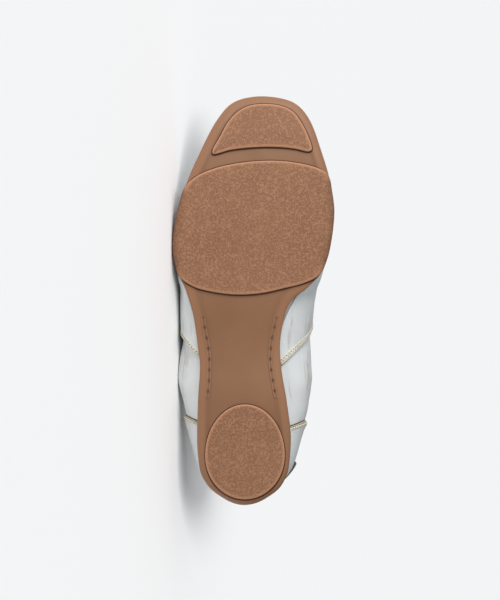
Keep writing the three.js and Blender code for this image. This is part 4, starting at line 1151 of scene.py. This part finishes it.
def mock_stitches(name, waypoints):
    """A moulded row of mock stitches in the waist: a strip carried along given points, with a lip on both
    sides, slanting beads between and a pit every few beads; painted shade darkens the pits and the hollows
    between beads, and a painted highlight lightens the lips."""
    waypoints = np.asarray(waypoints, float)
    length = running_length(waypoints)
    at = np.linspace(0, length[-1], 560)
    line = np.stack([smooth_curve(length, waypoints[:, k])(at) for k in (0, 1)], -1)
    along = unit(np.gradient(line, axis=0))
    across = np.stack([-along[:, 1], along[:, 0]], -1)
    width = np.linspace(-1.35, 1.35, 19)
    ends = np.sqrt(np.clip(1 - ((1.3 - np.minimum(at, at[-1] - at)).clip(0) / 1.3) ** 2, 0.0, 1))
    side = width[None] * ends[:, None]
    lip = 0.26 * bell(np.abs(width) - 0.98, 0.25)
    beads = 0.5 + 0.5 * np.cos(2 * math.pi * (at[:, None] / MOCK_STEP + side * 0.28))
    inside = np.clip(1 - (np.abs(width) / 0.8) ** 4, 0, 1)
    from_pit = (at[:, None] - MOCK_PIT_STEP / 2) % MOCK_PIT_STEP - MOCK_PIT_STEP / 2
    pit = bell(from_pit, 1.0) * bell(width, 0.72)[None]
    height = 0.06 + lip[None] + inside[None] * 0.2 * beads - 0.3 * pit
    edge = np.clip((1.35 - np.abs(width)) / 0.12, 0, 1)[None]
    height = height * edge * np.clip(ends[:, None] * 3, 0, 1) - 0.25 * (1 - edge)
    plan_points = line[:, None] + across[:, None] * side[..., None]
    x = plan_points[..., 0]
    points = np.concatenate([plan_points, (base_bottom(x) - 0.1 - height)[..., None]], -1)
    # Painted shade in the pits and between the beads, and a painted highlight on the lips
    corner = np.clip(pit * 1.2 + inside[None] * 0.5 * (1 - beads), 0, 1) + 0 * x
    painted_highlight = 1.6 * lip[None] + 0 * corner
    closed = np.concatenate([points, points[:, ::-1] + np.array([0, 0, 1.1])], 1)
    quads = grid_quads(*closed.shape[:2], wrap_rows=True)
    shares = {"edge": painted_highlight, "corner": corner}
    shares = {key: [np.concatenate([value, value[:, ::-1]], 1)] for key, value in shares.items()}
    faces = np.concatenate([quads, *end_caps(*closed.shape[:2])])
    return make_piece(name, [(closed, faces, 0)], [RUBBER], shares, smooth_angle=85)


def insole():
    """The footbed cover: a ring grid inside the upper, its edge rolled over."""
    around = np.arange(360) / 360
    foot = inside_upper(around, 0 * around)
    edge_x, edge_y = sole_edge(around, 0.0)
    inwards = np.hypot(foot[:, 0] - edge_x, foot[:, 1] - edge_y)

    def ring(inset, lift):
        share = (inwards + inset) / inwards
        x, y = mix(edge_x, foot[:, 0], share), mix(edge_y, foot[:, 1], share)
        return np.stack([x, y, footbed(x) + lift], -1)

    low, high = FIT_GAP, FIT_GAP + INSOLE_THICKNESS
    gap = FIT_GAP * 3
    rings = [spine_point(around, lambda x: footbed(x) + low), ring(gap, low), ring(gap, mix(low, high, 0.7)),
             ring(gap + 0.35, mix(low, high, 0.93)), ring(gap + 1.2, high), ring(gap + 6, high - 0.4),
             spine_point(around, lambda x: footbed(x) + high - 0.8)]
    points = np.stack(rings, 1)
    quads = grid_quads(len(around), len(rings), wrap_columns=True)
    return make_piece("footbed_cover", [(points, quads, 0)], [LINING], replaced=["insole"])


def through(knots, t):
    """A smooth curve over equally spaced knots: at each knot the slope runs from the one before to the one
    after. knots has the points on its second last axis."""
    count = knots.shape[-2]
    slopes = np.gradient(knots, axis=-2)
    i = np.clip((t * (count - 1)).astype(int), 0, count - 2)
    s = (t * (count - 1) - i)[:, None]
    start, end = knots[..., i, :], knots[..., i + 1, :]
    leave, arrive = slopes[..., i, :], slopes[..., i + 1, :]
    return mix(start, end, s * s * (3 - 2 * s)) + s * (1 - s) ** 2 * leave + s * s * (s - 1) * arrive


def tongue_top(alongs):
    """Upper face of the tongue: spans across under both facings, crowned in the middle."""
    stations = np.array([0.45, 0.5, 0.56, 0.63, 0.69, 0.73, 0.77])
    side_row = smooth_curve(stations, [0.85, 0.82, 0.8, 0.8, 0.82, 0.85, 0.9])(alongs)
    def under(side, row):
        return inside_upper(around_at(alongs, side), row, FIT_GAP * 3)
    lateral, medial = under(LATERAL, 1 + 0 * alongs), under(MEDIAL, 1 + 0 * alongs)
    middle = (lateral + medial) / 2
    middle[:, 2] += 2.0 * smooth_step(0, 12, np.abs(medial[:, 1] - lateral[:, 1]))
    knots = [under(LATERAL, side_row), under(LATERAL, mix(side_row, 1, 0.6)), middle,
             under(MEDIAL, mix(side_row, 1, 0.6)), under(MEDIAL, side_row)]
    return through(np.stack(knots, 1), np.linspace(0, 1, 33))


def tongue():
    """The tongue's face over its lining, thick in the middle and thin at its edges, with a narrowed, rounded
    tip past the top of the throat."""
    alongs = np.linspace(0.77, 0.45, 60)
    face = tongue_top(alongs)
    centre = face[:, 16]
    leave = unit(centre[-1] - centre[-4])
    tip = []
    for share in np.linspace(0.08, 1, 14):
        narrow = mix(1, 0.6, share) * math.sqrt(max(0.0, 1 - max(0.0, share - 0.72) ** 2 / 0.1))
        span = face[-1].copy()
        span[:, 1] = mix(centre[-1][1], span[:, 1], narrow)
        tip.append(span + leave * TONGUE_TIP_LENGTH * share)
    face = np.concatenate([face, np.stack(tip)])
    centre = face[:, 16]
    run = np.gradient(centre, axis=0) * np.array([1, 0, 1])
    down = unit(np.stack([-run[:, 2], 0 * run[:, 0], run[:, 0]], -1))
    down = np.where(down[:, 2:] > 0, -down, down)
    side_share = np.abs(np.linspace(-1, 1, 33))
    thickness = TONGUE_THICKNESS * (1 - 0.75 * side_share**4)
    end_share = np.minimum(np.arange(len(face)), np.arange(len(face))[::-1]).clip(0, 4) / 4
    thickness = thickness[None] * np.sqrt(1 - (1 - end_share[:, None]) ** 2 * 0.85)
    low = face + down[:, None] * thickness[..., None]
    bulge = 0.35 * (1 - side_share[None] ** 6) * end_share[:, None]
    face = face - down[:, None] * bulge[..., None] * 0.5
    loops = np.concatenate([face, low[:, ::-1]], 1)
    rows = loops.shape[1]
    quads = grid_quads(len(loops), rows, wrap_rows=True)
    cloth = quads[:, 0] % rows >= rows // 2
    rub = np.zeros((len(loops), rows))
    rub[:, 12:20] = 0.3
    leather = np.concatenate([quads[~cloth], *end_caps(len(loops), rows)])
    parts = [(loops, leather, 0), (np.zeros((0, 3)), quads[cloth] - len(loops) * rows, 1)]
    return make_piece("tongue_flap", parts, [LEATHER, LINING], {"rub": [rub], "painted_seam_shade": [0 * rub]},
                      ["tongue"])


EYELET_ALONGS = mix(FIRST_EYELET, LAST_EYELET, np.arange(EYELET_PAIRS) / (EYELET_PAIRS - 1))


def eyelets():
    """Twelve rolled rings: a rounded flange turned about the hole's axis, with a dark disc of painted shade
    across the hole.
    """
    profile = np.array([[EYELET_RADIUS, -0.05], [EYELET_RADIUS, 0.15], [2.85, 0.45], [2.5, 0.68], [2.15, 0.7],
                        [1.85, 0.5], [EYELET_HOLE_RADIUS, 0.15], [1.62, -0.2]])
    turn = np.linspace(0, 2 * math.pi, 28, endpoint=False)
    parts = []
    for along in EYELET_ALONGS:
        for side in (LATERAL, MEDIAL):
            around = np.array([around_at(along, side)])
            place = on_upper(around, np.array([EYELET_ROW]), TOP_OF_VAMP + 0.05)[0]
            outwards = upper_normal(around, np.array([EYELET_ROW]))[0]
            first = unit(np.cross(outwards, np.array([0, 1.0, 0])))
            second = np.cross(outwards, first)
            circle = np.cos(turn)[:, None] * first + np.sin(turn)[:, None] * second
            ring = place + circle[:, None] * profile[None, :, :1] + outwards * profile[None, :, 1:]
            parts.append((ring, grid_quads(28, len(profile), wrap_columns=True), 0))
            # A dark disc across each hole: painted shade
            radii = np.array([1.66, 1.1, 0.5, 0.0])
            cup = place + circle[:, None] * radii[None, :, None] + outwards * 0.06
            parts.append((cup, grid_quads(28, 4, wrap_columns=True), 1))
    names = [f"eyelet_{side}_{pair}" for side in ("lateral", "medial") for pair in range(1, EYELET_PAIRS + 1)]
    materials = [METAL, PAINTED_SHADE_DARK]
    return make_piece("eyelet_rings", parts, materials, replaced=names, smooth_angle=60)


def laces():
    """Six flat woven bars. Each comes up out of one eyelet, bows over the tongue and goes down into its
    partner: a flattened ellipse carried along given heights, narrowed where it enters the holes."""
    parts = []
    for along in EYELET_ALONGS:
        high = TOP_OF_VAMP + 1.5

        def spot(side, row, lift):
            return on_upper(np.array([around_at(along, side)]), np.array([row]), lift)[0]

        middle = (spot(LATERAL, 0.97, high) + spot(MEDIAL, 0.97, high)) / 2 + np.array([0, 0, 1.2])
        half = [(EYELET_ROW, 0.7), (EYELET_ROW + 0.006, 2.1), (EYELET_ROW + 0.032, high + 0.2), (0.975, high)]
        knots = [spot(LATERAL, *place) for place in half] + [middle]
        knots += [spot(MEDIAL, *place) for place in half[::-1]]
        path = through(np.array(knots), np.linspace(0, 1, 60))
        tangent = unit(np.gradient(path, axis=0))
        slope = math.atan(float(top_slope(mix(*TOP_REACH, along))))
        across = np.array([math.cos(slope), 0, math.sin(slope)])
        upwards = unit(np.cross(tangent, across))
        share = np.minimum(np.linspace(0, 1, 60), np.linspace(1, 0, 60))
        wide = mix(1.35, LACE_WIDTH / 2, smooth_step(0.04, 0.17, share))
        thick = mix(0.9, LACE_THICKNESS / 2, smooth_step(0.04, 0.17, share))
        angle = np.linspace(0, 2 * math.pi, 16, endpoint=False)
        flat_cos = np.sign(np.cos(angle)) * np.abs(np.cos(angle)) ** 0.7
        ring = across * (flat_cos[None] * wide[:, None])[..., None]
        ring = ring + upwards[:, None] * (np.sin(angle)[None] * thick[:, None])[..., None]
        points = path[:, None] + ring
        closed = np.concatenate([path[:1, None].repeat(16, 1), points, path[-1:, None].repeat(16, 1)])
        parts.append((closed, grid_quads(62, 16, wrap_rows=True), 0))
    names = [f"lace_bar_{pair}" for pair in range(1, EYELET_PAIRS + 1)]
    return make_piece("lace", parts, [LACE_CLOTH], replaced=names, smooth_angle=80)


outsole_base()
tread_pad("heel_pad", heel_pad_outline(), plan(*HEEL_PAD_MIDDLE), 2.0)
tread_pad("ball_pad", ball_pad_outline(), plan(*BALL_PAD_MIDDLE), 2.4, wraps=True)
tread_pad("toe_pad", toe_pad_outline(), plan(*TOE_PAD_MIDDLE), 1.5)
mock_stitches("mock_stitches_lateral", [(119.5, -29.7), (110.5, -28.4), (101, -26.6), (92, -25.8), (80, -26.0),
                                        (68, -27.2)])
mock_stitches("mock_stitches_medial", [(119.5, 17.0), (110.5, 15.0), (101, 13.3), (92, 12.9), (80, 14.4),
                                       (68, 16.6)])
upper_shell()
vamp_panel()
heel_counter()
facing(LATERAL)
facing(MEDIAL)
heel_tab()
seam_trim("vamp_seam_lateral", seam_along, LATERAL, 0.74, -1, 3.0)
seam_trim("vamp_seam_medial", seam_along, MEDIAL, 0.74, -1, 4.0)
seam_trim("counter_edge_lateral", counter_along, LATERAL, 0.95, 1, 1.5)
seam_trim("counter_edge_medial", counter_along, MEDIAL, 0.95, 1, 1.9)
top_stitching()
insole()
tongue()
eyelets()
laces()


# Floor, light and camera
def pale_floor():
    """One wide flat floor under the shoe, matt and nearly white."""
    mesh = bpy.data.meshes.new("floor")
    reach = FLOOR_REACH
    corners = [(-reach, -reach, 0), (reach, -reach, 0), (reach, reach, 0), (-reach, reach, 0)]
    mesh.from_pydata(corners, [], [(0, 1, 2, 3)])
    material, shader = new_material("pale_floor")
    shader.inputs["Base Color"].default_value = (0.86, 0.86, 0.86, 1)
    shader.inputs["Roughness"].default_value = 0.9
    shader.inputs["Specular IOR Level"].default_value = 0.1
    mesh.materials.append(material)
    floor = bpy.data.objects.new("floor", mesh)
    bpy.context.scene.collection.objects.link(floor)


def aimed(place, target):
    """A placing that looks from place towards target."""
    away = (Vector(place) - Vector(target)).normalized()
    return Matrix.Translation(place) @ away.to_track_quat("Z", "Y").to_matrix().to_4x4()


def floor_group(name, state):
    """A light's list of what it reaches: the floor alone, or all but the floor."""
    group = bpy.data.collections.new(name)
    group.objects.link(bpy.data.objects["floor"])
    group.collection_objects[0].light_linking.link_state = state
    return group


def add_lamp(light, placing, reaches):
    """Puts a light into the scene with its list."""
    lamp = bpy.data.objects.new(light.name, light)
    lamp.matrix_world = placing
    lamp.light_linking.receiver_collection = reaches
    bpy.context.scene.collection.objects.link(lamp)


def surrounding_light():
    """A pale surrounding, brighter towards the toe and the sole: a level plus a share of the direction."""
    world = bpy.data.worlds.new("studio")
    bpy.context.scene.world = world
    world.use_nodes = True
    background = world.node_tree.nodes["Background"]
    direction = node(world, "ShaderNodeTexCoord").outputs["Generated"]
    slope = node(world, "ShaderNodeVectorMath", {0: direction, 1: SKY_SLOPE}, operation="DOT_PRODUCT")
    strength = maths(world, "MAXIMUM", maths(world, "ADD", slope.outputs["Value"], SKY_LEVEL), 0.05)
    background.inputs["Color"].default_value = (0.97, 0.985, 1.0, 1)
    link(world, strength, background, "Strength")


def studio():
    """The surrounding, a wide sun on the floor alone, and one low soft lamp on the shoe from the toe side."""
    surrounding_light()
    sun = bpy.data.lights.new("floor_light", "SUN")
    sun.energy = SUN_STRENGTH
    sun.angle = math.radians(SUN_WIDTH_DEG)
    add_lamp(sun, aimed(SUN_PLACE, (0, 0, 0)), floor_group("floor_alone", "INCLUDE"))
    main = bpy.data.lights.new("main_light", "AREA")
    main.size = LAMP_SIZE
    main.energy = LAMP_POWER
    add_lamp(main, aimed(LAMP_PLACE, LAMP_TARGET), floor_group("all_but_floor", "EXCLUDE"))


def camera():
    """Looks square at the sole from the photo's side, rolled so that the toe points up in the picture. The lens
    takes in the view's height at the sole: sensor times distance over height."""
    lens = bpy.data.cameras.new("camera")
    lens.sensor_fit = "VERTICAL"
    lens.sensor_height = SENSOR_HEIGHT
    lens.lens = SENSOR_HEIGHT * CAMERA_DISTANCE / VIEW_HEIGHT
    lens.clip_end = 60.0
    target = to_floor(np.array(VIEW_CENTRE))
    place = target - UP * CAMERA_DISTANCE
    turn = np.stack([MEDIALWARDS, FORWARD, -UP], 1)
    eye = bpy.data.objects.new("camera", lens)
    eye.matrix_world = Matrix.Translation(place) @ Matrix(turn.tolist()).to_4x4()
    bpy.context.scene.collection.objects.link(eye)
    bpy.context.scene.camera = eye


pale_floor()
studio()
camera()
bpy.context.scene.view_settings.view_transform = "Standard"
